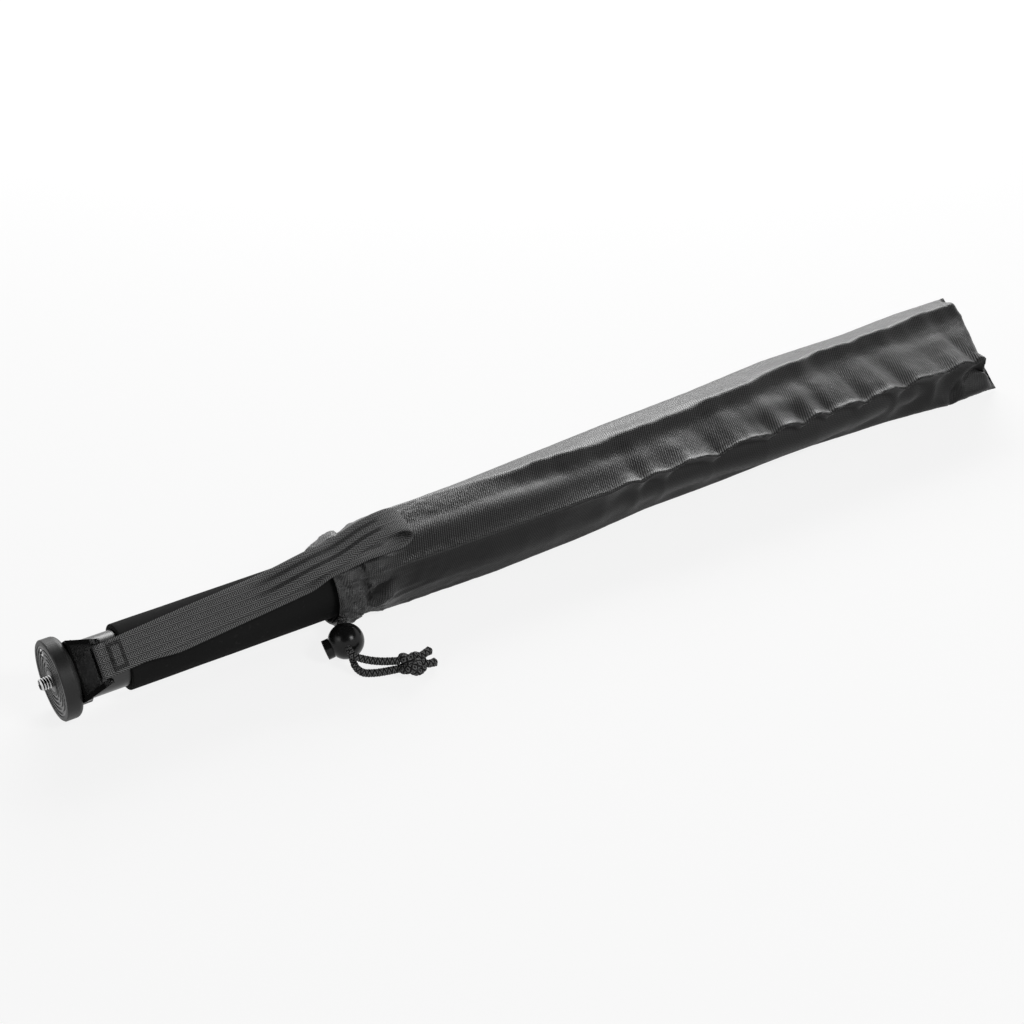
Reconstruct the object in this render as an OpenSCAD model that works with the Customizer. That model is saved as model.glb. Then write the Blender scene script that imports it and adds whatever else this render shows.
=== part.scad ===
// Four-section camera monopod lying in its carry bag, in millimetres.
// X runs along the tubes from the camera plate to the foot, Z is up,
// and the origin is the centre of the camera plate's face.

/* [Camera plate] */
// Diameter of the camera plate
plate_d = 40; // [36:0.5:60]
// Thickness of the camera plate
plate_t = 8.5; // [7:0.5:12]
// Radius of the plate's rounded rear edge
plate_edge_r = 3; // [1:0.5:4]
// Chamfer round the plate's front edge
plate_chamfer = 0.6; // [0.2:0.1:1.2]
// Outer diameter of the ridged face pad
pad_d = 35; // [30:0.5:35.5]
// Thickness of the face pad
pad_t = 1.4; // [1:0.1:2]
// Number of concentric ridges on the pad
pad_ridges = 5; // [2:1:6]
// Depth of the grooves between the ridges
pad_groove = 0.5; // [0.2:0.1:0.7]
// Diameter of the camera stud
stud_d = 6.35; // [6.35:3.175:9.525]
// Length of the stud in front of the face
stud_len = 5.5; // [4.5:0.5:8]
// Diameter of the stud's flange
stud_flange_d = 11; // [10.5:0.5:13]
// Thickness of the stud's flange
stud_flange_t = 2; // [1.5:0.5:3]
// Diameter of the set screw
set_screw_d = 4; // [3:0.5:5]
// Distance of the set screw from the axis
set_screw_at = 14; // [11:0.5:14.5]

/* [Tubes] */
// Outer diameter of the main tube
tube_d = 28; // [26:0.5:30]
// Drop in diameter from each tube to the next
tube_step = 4; // [4:0.2:5]
// Wall of every tube
tube_wall = 1.2; // [0.8:0.1:1.3]
// Place of the main tube's lower end
main_end = 430; // [390:5:470]
// How far each leg reaches past the one outside it
leg_show = 36; // [36:1:60]
// Length of the guide bush at each leg's top
bush_len = 24; // [15:1:35]
// Place of the first leg's top end
leg_top = 40; // [36:1:60]
// Step between the top ends of the legs
leg_top_step = 8; // [4:1:15]
// Length of the plug in the main tube's top
plug_len = 22; // [15:1:25]

/* [Twist locks] */
// Length of a twist collar past the tube's end
collar_lip = 14; // [12:1:16]
// Length of a twist collar back along the tube
collar_skirt = 20; // [16:1:21]
// Thickness of the threaded sleeve
sleeve_wall = 0.95; // [0.8:0.05:1]
// Thickness of a twist collar
collar_wall = 0.95; // [0.8:0.05:1]
// Thickness of the rubber band on a collar
band_wall = 0.5; // [0.4:0.05:0.6]
// Length of the rubber band
band_len = 24; // [15:1:28]
// Number of grooves round the band
band_grooves = 20; // [12:2:28]
// Length of the split collet
collet_len = 8; // [6:0.5:9]
// Number of slits in the collet
collet_slits = 4; // [3:1:6]

/* [Grip and neck] */
// Thickness of the foam grip
grip_wall = 2.45; // [2:0.05:3]
// Place of the grip's upper end
grip_start = 34; // [30:1:40]
// Length of the foam grip
grip_len = 200; // [140:5:260]
// Length of the neck collar
neck_len = 6; // [5:0.5:8]
// Wall of the neck collar
neck_wall = 1.4; // [1:0.1:2]
// Length of the strap bracket
bracket_len = 15; // [14:0.5:18]
// Width of the bracket at the plate
bracket_root_w = 30; // [28:0.5:32]
// Width of each arm that holds the bracket's bar
arm_w = 2.2; // [1.6:0.1:3]
// Diameter of the bracket's bar
bar_d = 2.4; // [2:0.1:3]
// Angle of the bracket from the top towards the front
bracket_angle = 50; // [40:1:60]

/* [Wrist strap] */
// Width of the webbing
strap_w = 16.5; // [14:0.5:18]
// Thickness of the webbing
strap_t = 1.3; // [1:0.1:1.6]
// Place of the loop's far end
strap_end = 186; // [176:1:190]
// Opening of the loop near its far end
loop_gap = 8.5; // [8:0.5:10]
// Angle of the loop's far end from the top
strap_end_angle = 16; // [10:1:30]

/* [Foot] */
// Diameter of the rubber foot
foot_d = 23; // [20:0.5:26]
// Length of the rubber foot
foot_len = 22; // [18:1:26]
// Wall of the rubber foot
foot_wall = 2.5; // [2:0.1:3]

/* [Bag] */
// Place of the bag's mouth
bag_mouth = 141; // [136:1:146]
// Width of the gathered hem along the tube
hem_w = 16; // [12:1:18]
// Thickness of the gathered hem
hem_wall = 3.8; // [3.4:0.1:4.2]
// Slack of the bag between the foot and its folded end
bag_spare = 20; // [4:1:40]
// Thickness of the bag's cloth
cloth_t = 1; // [0.8:0.1:1.1]
// Thickness of the folded end at the seam
seam_t = 8; // [7:0.5:12]
// Width of the sewn end seam
seam_w = 3; // [2:0.5:5]
// Length over which the bag flattens to its end seam
seam_run = 28; // [24:1:32]

/* [Cord lock] */
// Diameter of the ball
ball_d = 18; // [17:0.5:18]
// Diameter of the push button
button_d = 10; // [9:0.5:11]
// Travel of the push button
button_travel = 3; // [2:0.5:3]
// Diameter of the drawcord
cord_d = 3.3; // [3:0.1:3.4]

/* [Hidden] */
$fn = 64;
// Gap round a piece that is fixed in its seat
fit_gap = 0.05;
// Gap round a piece that turns or slides in its seat
run_gap = 0.05;
// Gap between pieces that pass each other
pass_gap = 0.3;
// Overlap that lets a cut break cleanly through a face
cut = 1;

floor_z = -plate_d / 2;

// Stud and plate
stud_r = stud_d / 2;
stud_tip = 0.5;
shank_short = 8;
stud_shank_end = plate_t + plug_len - shank_short;
flange_r = stud_flange_d / 2;
pad_clear = 1.5;
pad_in_r = flange_r + pad_clear;
pad_out_r = pad_d / 2;
ridge_pitch = (pad_out_r - pad_in_r) / (2 * pad_ridges - 1);
pad_sunk = 0.2;
screw_r = set_screw_d / 2;
screw_len = 5;
screw_sunk = 0.6;
screw_socket_r = 1.1;
screw_turn = -42;

// Tube radii from the outside in
legs = 4;
tube_r = [for (k = [0:legs - 1]) tube_d / 2 - k * tube_step / 2];
bore_r = [for (k = [0:legs - 1]) tube_r[k] - tube_wall];
tube_end = [for (k = [0:legs - 1]) main_end + k * leg_show];
tube_top = [for (k = [0:legs - 1]) k == 0 ? plate_t : leg_top + (k - 1) * leg_top_step];

// Twist locks
skirt_over = 1;
sleeve_back = collar_skirt - skirt_over;
thread_lip = 2;
collar_chamfer = 0.4;
collar_round = 1;
collet_shoulder = 3.6;
collet_tip_wall = 0.7;
slit_w = 1.2;
slit_from = 2.4;
groove_r = 0.6;
groove_lift = 0.24;
band_margin = 3;
band_back = collar_skirt - band_margin;

// Grip and bracket
grip_r = tube_r[0] + fit_gap + grip_wall;
bar_r = bar_d / 2;
wrap_r = bar_r + pass_gap + strap_t / 2;
bar_h = tube_r[0] + pass_gap + wrap_r + strap_t / 2;
arm_lip = 0.5;
arm_r = bar_r + arm_lip;
bar_x = plate_t + bracket_len - arm_r;
panel_end = bar_x - wrap_r - strap_t / 2 - pass_gap;
slot_y = strap_w + 4 * pass_gap;
bracket_tip_w = slot_y + 2 * arm_w;
sink_share = 0.45;
bracket_sink = tube_r[0] * sink_share;
bracket_rise = 2.6;
rail_w = 2.6;
panel_wall = 1;
panel_rim = 1.2;
arm_low = 2;
arm_neck = 1.5;

// Foot
foot_clear = 2;
foot_start = tube_end[legs - 2] + collar_lip + foot_clear;
foot_r = foot_d / 2;
foot_shoulder = 2;
foot_inset = 12;
foot_core_r = foot_r - foot_wall;
foot_core_len = foot_len - 2 * foot_wall;
tread_groove = 0.8;
tread_r = [3.5, 7];

foot_end = foot_start + foot_len;

// Widest piece that the bag goes over
band_r = tube_r[0] + 2 * fit_gap + run_gap + sleeve_wall + collar_wall + band_wall;
inside_r = max(grip_r, band_r);

// Bag along its length: place from the mouth, front edge on the floor, front slack, ridge Y and ridge Z
bag_shape = [
  [59, -11.5, 3.9, 25, 17],
  [94, -12.5, 4, 27, 17],
  [144, -10.5, 2.8, 31, 17],
  [194, -6.5, 1.8, 34, 18],
  [249, -5.5, 1.4, 36, 19],
  [304, -3.5, 1.2, 40, 20],
  [364, -6.5, 1.4, 40, 20],
  [409, -12, 2, 43, 20],
];
bag_len = foot_end + bag_spare + seam_run - bag_mouth;
shape_from = 46;
bag_ring_step = 14;
bag_sides = 36;
ridge_side = 3;
front_side = 13;
floor_side = 23;
back_side = 30;
valley_dip = 6;
ridge_round = 6;
seam_lift = 5;
seam_low = [-5, floor_z + seam_lift];
seam_high = [43, 20];
hem_bore_r = inside_r + pass_gap;
hem_r = hem_bore_r + hem_wall;
hem_skin = 0.3;
hem_cord_flat = 2.4;

// Cord lock and drawcord
ball_r = ball_d / 2;
ball_at = [136.5, -33.3, floor_z + ball_r];
lock_turn = [0, 108, 165];
plunger_r = 4.4;
button_r = button_d / 2;
button_t = 3.4;
button_out = 11;
plunger_end = -2.6;
plunger_foot = 1;
bore_floor = plunger_end - button_travel - pass_gap;
spring_floor = -7.9;
spring_pocket_r = 3.2;
cord_r = cord_d / 2;
cord_clear = 0.2;
cord_pitch = cord_d + cord_clear;
cord_hole_r = cord_r + cord_clear;
spring_wire = 0.6;
spring_r = 2.6;
spring_turns = 3.5;
knot_at = [157, -61.5, -15.2];
knot_r = 4;
knot_lobe = 2;
knot_cord_r = 1.45;
knot_rings = 72;
knot_tilt = [0, 10, -20];

// Routes of the drawcord's free stretches, chosen by hand
upper_strand_route = [
  [134.2, -39.6, -9.4],
  [133.6, -41.8, -9.4],
  [133, -44.8, -9.5],
  [134, -47.8, -10.2],
  [137, -50.3, -11.4],
  [141, -52.6, -12.6],
  [145.5, -54.8, -13.4],
  [152.4, -58.4, -13.6],
];
lower_strand_route = [
  [135.3, -39.9, -12.6],
  [134.7, -42.1, -12.6],
  [133.8, -45, -13.8],
  [133.6, -48.2, -16.2],
  [135.5, -51.6, -18],
  [139.5, -54.3, -18.3],
  [144.5, -56.4, -18.2],
  [152, -60.2, -16.8],
];
upper_link_route = [
  [137.7, -26.7, -9.4],
  [138.3, -24.5, -9.4],
  [139.3, -22.4, -9],
  [141, -20.4, -8.2],
  [142.8, -18.8, -7.4],
];
lower_link_route = [
  [138.8, -26.9, -12.6],
  [139.4, -24.7, -12.6],
  [140.4, -22.4, -12.4],
  [142, -19.6, -11.8],
  [144, -17.1, -10.9],
];
upper_tail_route = [
  [162.8, -60.8, -13.4],
  [165.6, -60.2, -13],
  [168.2, -59.2, -13.4],
];
lower_tail_route = [
  [162.6, -64.2, -15.8],
  [165.4, -64.6, -16.6],
  [168.4, -64.2, -17.2],
];
cord_sides = 8;
route_steps = 2;

// Smooth step from 0 at a to 1 at b
function ease(x, a, b) =
  let (t = min(1, max(0, (x - a) / (b - a))))
  t * t * (3 - 2 * t);

function unit(v) = v / norm(v);

// Point on the smooth curve through p1 and p2
function curve_point(p0, p1, p2, p3, t) =
  0.5 * (2 * p1 + (p2 - p0) * t + (2 * p0 - 5 * p1 + 4 * p2 - p3) * t * t
    + (3 * p1 - p0 - 3 * p2 + p3) * t * t * t);

// Smooth open curve through a route
function smooth_route(route, steps) = concat(
  [for (i = [0:len(route) - 2], s = [0:steps - 1])
    curve_point(route[max(i - 1, 0)], route[i], route[i + 1], route[min(i + 2, len(route) - 1)], s / steps)],
  [route[len(route) - 1]]);

// Smooth closed curve through a ring of points
function smooth_ring(ring, count) =
  let (n = len(ring))
  [for (k = [0:count - 1])
    let (u = k * n / count, i = floor(u))
    curve_point(ring[(i + n - 1) % n], ring[i], ring[(i + 1) % n], ring[(i + 2) % n], u - i)];

// Two triangles between neighbouring points of two rings
function side_faces(a, b, n) = [for (k = [0:n - 1])
  each [[a * n + k, b * n + k, b * n + (k + 1) % n], [a * n + k, b * n + (k + 1) % n, a * n + (k + 1) % n]]];

function ring_centre(ring) = [for (p = ring) 1] * ring / len(ring);

// Closed skin over a row of rings, with a flat cap at each end
module skin(rings) {
  n = len(rings[0]);
  last = len(rings) - 1;
  flat = [for (ring = rings, p = ring) p];
  first_cap = len(flat);
  points = concat(flat, [ring_centre(rings[0]), ring_centre(rings[last])]);
  faces = concat(
    [for (k = [0:n - 1]) [first_cap, k, (k + 1) % n]],
    [for (i = [0:last - 1]) each side_faces(i, i + 1, n)],
    [for (k = [0:n - 1]) [first_cap + 1, last * n + (k + 1) % n, last * n + k]]);
  polyhedron(points, faces, convexity = 6);
}

// Skin over rings that close on themselves, as a band does
module loop_skin(rings) {
  n = len(rings[0]);
  count = len(rings);
  polyhedron(
    [for (ring = rings, p = ring) p],
    [for (i = [0:count - 1]) each side_faces(i, (i + 1) % count, n)],
    convexity = 6);
}

// Rings of a round tube along a path
function tube_rings(path, r, sides) = [for (i = [0:len(path) - 1])
  let (
    along = unit(path[min(i + 1, len(path) - 1)] - path[max(i - 1, 0)]),
    side = unit(cross([0, 0, 1], along)),
    up = cross(along, side))
  [for (k = [0:sides - 1]) path[i] + r * (cos(360 * k / sides) * side + sin(360 * k / sides) * up)]];

module cord(route) {
  color("#161616") skin(tube_rings(smooth_route(route, route_steps), cord_r, cord_sides));
}

// Turns what is drawn along Z to lie along X from the given place
module along_x(x) {
  translate([x, 0, 0]) rotate([0, 90, 0]) children();
}

module ring_x(x, length, outer, inner) {
  along_x(x) difference() {
    cylinder(h = length, r = outer);
    translate([0, 0, -cut]) cylinder(h = length + 2 * cut, r = inner);
  }
}

// Head

module screw_hole(r) {
  rotate([screw_turn, 0, 0]) translate([0, 0, set_screw_at]) along_x(-cut) cylinder(h = plate_t, r = r);
}

module camera_plate() {
  plate_r = plate_d / 2;
  color("#232323") difference() {
    along_x(0) rotate_extrude() polygon(concat(
      [[stud_r + fit_gap, 0], [plate_r - plate_chamfer, 0], [plate_r, plate_chamfer]],
      [for (a = [0:15:90])
        [plate_r - plate_edge_r + plate_edge_r * cos(a), plate_t - plate_edge_r + plate_edge_r * sin(a)]],
      [[stud_r + fit_gap, plate_t]]));
    along_x(-cut) cylinder(h = stud_flange_t + fit_gap + cut, r = flange_r + fit_gap);
    ring_x(-cut, pad_t + pad_sunk + cut, pad_out_r + fit_gap, pad_in_r - fit_gap);
    screw_hole(screw_r + fit_gap);
  }
}

module face_pad() {
  color("#2b2b2b") difference() {
    ring_x(pad_sunk, pad_t, pad_out_r, pad_in_r);
    for (k = [0:pad_ridges - 2])
      let (groove_in = pad_in_r + (2 * k + 1) * ridge_pitch)
        ring_x(pad_sunk - cut, pad_groove + cut, groove_in + ridge_pitch, groove_in);
    screw_hole(screw_r + pass_gap);
  }
}

module camera_stud() {
  color("#d8d8d8") along_x(0) rotate_extrude() polygon([
    [0, -stud_len], [stud_r - stud_tip, -stud_len], [stud_r, stud_tip - stud_len], [stud_r, 0],
    [flange_r, 0], [flange_r, stud_flange_t], [stud_r, stud_flange_t], [stud_r, stud_shank_end],
    [0, stud_shank_end]]);
}

module set_screw() {
  color("#d8d8d8") rotate([screw_turn, 0, 0]) translate([0, 0, set_screw_at]) along_x(screw_sunk)
    difference() {
      cylinder(h = screw_len, r = screw_r);
      translate([0, 0, -cut]) cylinder(h = screw_len / 2 + cut, r = screw_socket_r, $fn = 6);
    }
}

module neck_plug() {
  color("#8c8f92") ring_x(plate_t, plug_len, bore_r[0] - fit_gap, stud_r + fit_gap);
}

// Saddle that grows out of the collar, flat on top, with its sides drawn in towards the bar
module bracket_block() {
  plan = [
    [plate_t, -bracket_root_w / 2], [bar_x, -bracket_tip_w / 2],
    [bar_x, bracket_tip_w / 2], [plate_t, bracket_root_w / 2]];
  side = [
    [plate_t, bracket_sink], [plate_t, tube_r[0] + bracket_rise], [panel_end, bar_h + arm_neck],
    [bar_x, bar_h + arm_neck], [bar_x, bar_h - arm_neck], [panel_end, bracket_sink + arm_low]];
  intersection() {
    linear_extrude(height = bar_h + bracket_len) polygon(plan);
    translate([0, bracket_root_w, 0]) rotate([90, 0, 0])
      linear_extrude(height = 2 * bracket_root_w) polygon(side);
  }
}

// Sunk panel between the two side rails of the saddle
module bracket_recess() {
  translate([0, 0, tube_r[0] + panel_wall]) linear_extrude(height = bar_h) polygon([
    [plate_t + panel_rim, rail_w - bracket_root_w / 2], [bar_x, rail_w - bracket_tip_w / 2],
    [bar_x, bracket_tip_w / 2 - rail_w], [plate_t + panel_rim, bracket_root_w / 2 - rail_w]]);
}

module bracket_bar() {
  translate([bar_x, 0, bar_h]) rotate([90, 0, 0]) {
    cylinder(h = slot_y + arm_w, r = bar_r, center = true);
    for (side = [-1, 1])
      translate([0, 0, side * (slot_y + arm_w) / 2]) cylinder(h = arm_w, r = arm_r, center = true);
  }
}

module neck_collar() {
  color("#121212") union() {
    difference() {
      union() {
        along_x(plate_t) cylinder(h = neck_len, r = tube_r[0] + neck_wall);
        rotate([bracket_angle, 0, 0]) bracket_block();
      }
      along_x(plate_t - cut) cylinder(h = bracket_len + 2 * cut, r = tube_r[0] + fit_gap);
      rotate([bracket_angle, 0, 0]) {
        bracket_recess();
        translate([panel_end, -slot_y / 2, 0]) cube([bracket_len, slot_y, bar_h + bracket_len]);
      }
    }
    rotate([bracket_angle, 0, 0]) bracket_bar();
  }
}

module foam_grip() {
  color("#1a1a1a") ring_x(grip_start, grip_len, grip_r, tube_r[0] + fit_gap);
}

// Wrist strap

strap_low_bar = bar_h - wrap_r;
strap_top_bar = bar_h + wrap_r;
strap_on_grip = grip_r + 2 * pass_gap + strap_t / 2;
strap_on_bag = inside_r + cloth_t + bag_shape[0][2] + pass_gap + strap_t / 2;
layer_gap = 0.2;
climb_len = 13;
climb_clear = 1;
climb_to = bag_mouth - climb_clear;
climb_from = climb_to - climb_len;
fold_len = 9;
loop_to = strap_end - fold_len;
twist_past = 10;
twist_to = bag_mouth + twist_past;
off_bar = bar_x + bar_r;
grip_clear = 3;
on_grip = grip_start - grip_clear;

function strap_lower(x) =
  strap_low_bar
  + (strap_on_grip - strap_low_bar) * ease(x, off_bar, on_grip)
  + (strap_on_bag - strap_on_grip) * ease(x, climb_from, climb_to);
function strap_upper(x) =
  max(strap_lower(x) + strap_t + layer_gap + loop_gap * ease(x, climb_to, loop_to),
    strap_top_bar - (strap_top_bar - strap_on_grip - strap_t - layer_gap) * ease(x, off_bar, on_grip));
function strap_angle(x) = bracket_angle + (strap_end_angle - bracket_angle) * ease(x, grip_start, twist_to);

// Places from a to b, after a, in the given number of steps
function places(a, b, steps) = [for (k = [1:steps]) a + k * (b - a) / steps];

strap_places = concat([bar_x], places(bar_x, on_grip, 5), places(on_grip, climb_from, 14),
  places(climb_from, climb_to, 4), places(climb_to, loop_to, 4));
fold_mid = (strap_lower(loop_to) + strap_upper(loop_to)) / 2;
fold_half = (strap_upper(loop_to) - strap_lower(loop_to)) / 2;
fold_reach = strap_end - strap_t / 2 - loop_to;
strap_path = concat(
  [for (x = strap_places) [x, strap_lower(x)]],
  [for (a = [-60:30:60]) [loop_to + fold_reach * cos(a), fold_mid + fold_half * sin(a)]],
  [for (k = [len(strap_places) - 1:-1:0]) [strap_places[k], strap_upper(strap_places[k])]],
  [for (a = [72:-24:-72]) [bar_x - wrap_r * cos(a), bar_h + wrap_r * sin(a)]]);

function strap_point(p) =
  let (a = strap_angle(p[0]))
  [p[0], -p[1] * sin(a), p[1] * cos(a)];

module wrist_strap() {
  n = len(strap_path);
  color("#4a4a4a") loop_skin([for (i = [0:n - 1])
    let (
      here = strap_point(strap_path[i]),
      along = unit(strap_point(strap_path[(i + 1) % n]) - strap_point(strap_path[(i + n - 1) % n])),
      a = strap_angle(strap_path[i][0]),
      side = [0, -cos(a), -sin(a)] * strap_w / 2,
      up = unit(cross(along, side)) * strap_t / 2)
    [here + side - up, here + side + up, here - side + up, here - side - up]]);
}

// Tubes and twist locks, k counting the tubes from 0 at the outside

module tube(k, c) {
  end = k == legs - 1 ? foot_start : tube_end[k];
  color(c) ring_x(tube_top[k], end - tube_top[k], tube_r[k], bore_r[k]);
}

module guide_bush(k) {
  color("#e6e2d8") difference() {
    ring_x(tube_top[k], bush_len, bore_r[k - 1] - run_gap, tube_r[k] + fit_gap);
    translate([tube_top[k] - cut, -slit_w / 2, 0]) cube([bush_len + 2 * cut, slit_w, bore_r[k - 1]]);
  }
}

module lock_sleeve(k) {
  color("#2a2a2a") union() {
    ring_x(tube_end[k] - sleeve_back, sleeve_back, tube_r[k] + fit_gap + sleeve_wall, tube_r[k] + fit_gap);
    ring_x(tube_end[k], thread_lip, tube_r[k] + fit_gap + sleeve_wall, tube_r[k] - tube_wall / 2);
  }
}

module lock_collet(k) {
  seat = tube_end[k] + thread_lip;
  outer = tube_r[k];
  inner = tube_r[k + 1] + run_gap;
  color("#e6e2d8") difference() {
    along_x(seat) rotate_extrude() polygon([
      [inner, 0], [outer, 0], [outer, collet_shoulder],
      [inner + collet_tip_wall, collet_len], [inner, collet_len]]);
    for (s = [0:collet_slits - 1])
      rotate([s * 360 / collet_slits, 0, 0])
        translate([seat + slit_from, -slit_w / 2, 0]) cube([collet_len, slit_w, outer + cut]);
  }
}

// The collar's inner cone closes on the collet when the collar is turned
module twist_collar(k) {
  inner = tube_r[k] + fit_gap + sleeve_wall + run_gap;
  outer = inner + collar_wall;
  leg_r = tube_r[k + 1];
  length = collar_skirt + collar_lip;
  seat = collar_skirt + thread_lip;
  tip_r = leg_r + run_gap + collet_tip_wall + pass_gap;
  color("#151515") along_x(tube_end[k] - collar_skirt) rotate_extrude() polygon([
    [inner, 0], [outer - collar_chamfer, 0], [outer, collar_chamfer],
    [outer, length - collar_round], [outer - collar_round, length], [leg_r + pass_gap, length],
    [leg_r + pass_gap, seat + collet_len + pass_gap], [tip_r, seat + collet_len + pass_gap],
    [tube_r[k] + pass_gap, seat + collet_shoulder], [inner, seat + pass_gap]]);
}

module collar_band(k) {
  inner = tube_r[k] + fit_gap + sleeve_wall + run_gap + collar_wall + fit_gap;
  outer = inner + band_wall;
  start = tube_end[k] - band_back;
  color("#202020") difference() {
    ring_x(start, band_len, outer, inner);
    for (s = [0:band_grooves - 1])
      rotate([s * 360 / band_grooves, 0, 0])
        translate([start - cut, 0, outer + groove_lift]) rotate([0, 90, 0])
          cylinder(h = band_len + 2 * cut, r = groove_r);
  }
}

module foot_plug() {
  plug_r = bore_r[legs - 1] - fit_gap;
  color("#2a2a2a") along_x(foot_start) rotate_extrude() polygon([
    [0, -foot_inset], [plug_r, -foot_inset], [plug_r, 0], [foot_core_r, 0],
    [foot_core_r, foot_core_len], [0, foot_core_len]]);
}

module rubber_foot() {
  color("#1c1c1c") difference() {
    along_x(foot_start) rotate_extrude() polygon(concat(
      [[0, foot_core_len], [foot_core_r + fit_gap, foot_core_len], [foot_core_r + fit_gap, 0],
        [foot_r - foot_shoulder / 2, 0], [foot_r, foot_shoulder]],
      [for (a = [0:15:90])
        [foot_r - foot_wall + foot_wall * cos(a), foot_len - foot_wall + foot_wall * sin(a)]],
      [[0, foot_len]]));
    for (r = tread_r)
      ring_x(foot_start + foot_len - tread_groove, tread_groove + cut, r + tread_groove, r);
  }
}

// Bag

// Outline of the bag at a distance s from its mouth, from the back ridge over the top to the floor
function bag_outline(s) =
  let (
    row = [for (c = [1:4]) lookup(s, [for (r = bag_shape) [r[0], r[c]]])],
    edge = row[0],
    b = inside_r + cloth_t + row[1],
    ry = row[2],
    rz = row[3])
  [[ry, rz - ridge_round], [ry - ridge_round, rz], [ry / 2, (b + rz) / 2 - valley_dip], [-0.05 * b, b],
    [-0.72 * b, 0.7 * b], [-b, 0.05 * b], [-0.82 * b, -0.58 * b], [edge, floor_z],
    [(edge + ry) / 2, floor_z], [ry - ridge_round, floor_z], [ry, floor_z / 2]];

seam_mid = (seam_low + seam_high) / 2;
seam_along = unit(seam_high - seam_low);
seam_across = [-seam_along[1], seam_along[0]];
end_depths = [for (p = bag_outline(bag_len)) (p - seam_mid) * seam_across];
seam_share = seam_t / (max(end_depths) - min(end_depths));

// Draws an outline point in towards the slanted line of the end seam
function to_seam(p, share) =
  seam_mid + seam_along * ((p - seam_mid) * seam_along)
    + seam_across * ((p - seam_mid) * seam_across) * (1 - share);

function on_floor(p, lift) = [p[0], max(p[1], floor_z + lift)];

// Ring of the bag at a distance s from its mouth, drawn in by the thickness of the cloth for its inside
function bag_ring(s, inset) =
  let (
    shape = smooth_ring(bag_outline(s), bag_sides),
    share = ease(s, hem_w, shape_from),
    shut = (1 - seam_share) * ease(s, bag_len - seam_run, bag_len),
    round_ring = [for (p = shape) unit(p) * hem_r],
    drawn = [for (i = [0:bag_sides - 1])
      on_floor(to_seam(round_ring[i] * (1 - share) + shape[i] * share, shut), 0)],
    mid = ring_centre(drawn))
  [for (p = drawn)
    let (q = on_floor(p + unit(mid - p) * inset, inset))
    [bag_mouth + s, q[0], q[1]]];

bag_places = concat(
  [for (s = [hem_w:bag_ring_step:bag_len - seam_run - bag_ring_step / 2]) s],
  places(bag_len - seam_run, bag_len - seam_w, 5));

// Faces of a wall, split alike on its two long edges so that neighbouring walls meet
function wall_faces(a, b, n) = concat(
  [for (k = [0:n - 2])
    each [[a * n + k, b * n + k, b * n + k + 1], [a * n + k, b * n + k + 1, a * n + k + 1]]],
  [[a * n + n - 1, b * n + n - 1, a * n], [b * n + n - 1, b * n, a * n]]);

// Wall of the bag from one side of its rings round to another
module bag_wall(from, to) {
  m = to - from + 1;
  rings = [for (s = bag_places)
    let (outside = bag_ring(s, 0), inside = bag_ring(s, cloth_t))
    concat(
      [for (k = [from:to]) outside[k % bag_sides]],
      [for (k = [to:-1:from]) inside[k % bag_sides]])];
  last = len(rings) - 1;
  cap = [for (k = [0:m - 2]) each [[k, 2 * m - 2 - k, k + 1], [k, 2 * m - 1 - k, 2 * m - 2 - k]]];
  color("#303030") polyhedron(
    [for (ring = rings, p = ring) p],
    concat(
      [for (f = cap) [f[0], f[2], f[1]]],
      [for (i = [0:last - 1]) each wall_faces(i, i + 1, 2 * m)],
      [for (f = cap) [for (k = f) k + 2 * m * last]]),
    convexity = 6);
}

module bag_end() {
  color("#303030") skin([bag_ring(bag_len - seam_w, 0), bag_ring(bag_len, 0)]);
}

module floor_cut() {
  translate([bag_mouth - cut, -2 * hem_r, floor_z - 2 * hem_r]) cube([hem_w + 2 * cut, 4 * hem_r, 2 * hem_r]);
}

module bag_hem() {
  channel_in = hem_bore_r + hem_skin;
  channel_out = channel_in + hem_cord_flat + 2 * fit_gap;
  channel_w = cord_d * cord_d / hem_cord_flat + 2 * fit_gap;
  color("#2c2c2c") difference() {
    ring_x(bag_mouth, hem_w, hem_r, hem_bore_r);
    ring_x(bag_mouth + (hem_w - channel_w) / 2, channel_w, channel_out, channel_in);
    floor_cut();
  }
}

// Stretch of the drawcord inside the hem, pressed flat between the hem and the grip
module hem_cord() {
  inner = hem_bore_r + hem_skin + fit_gap;
  width = cord_d * cord_d / hem_cord_flat;
  color("#161616") ring_x(bag_mouth + (hem_w - width) / 2, width, inner + hem_cord_flat, inner);
}

// Cord lock, drawn with the button along Z and the cord holes along Y

module lock_frame() {
  translate(ball_at) rotate(lock_turn) children();
}

module cord_holes() {
  for (side = [-1, 1])
    translate([side * cord_pitch / 2, 0, 0]) rotate([90, 0, 0])
      cylinder(h = 2 * ball_d, r = cord_hole_r, center = true);
}

module cord_lock_body() {
  button_floor = button_out - button_t - button_travel - pass_gap;
  color("#1a1a1a") lock_frame() difference() {
    sphere(r = ball_r);
    translate([0, 0, bore_floor]) cylinder(h = 2 * ball_r, r = plunger_r + run_gap);
    translate([0, 0, spring_floor]) cylinder(h = ball_r, r = spring_pocket_r);
    translate([0, 0, button_floor]) cylinder(h = ball_r, r = button_r + pass_gap);
    cord_holes();
  }
}

module cord_lock_button() {
  slot_low = plunger_end + plunger_foot;
  slot_high = cord_hole_r + button_travel;
  slot_half = cord_pitch / 2 + cord_hole_r;
  color("#141414") lock_frame() difference() {
    union() {
      translate([0, 0, plunger_end]) cylinder(h = button_out - plunger_end - cut, r = plunger_r);
      translate([0, 0, button_out - button_t]) cylinder(h = button_t, r = button_r);
    }
    translate([-slot_half, -button_r, slot_low]) cube([2 * slot_half, 2 * button_r, slot_high - slot_low]);
  }
}

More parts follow.
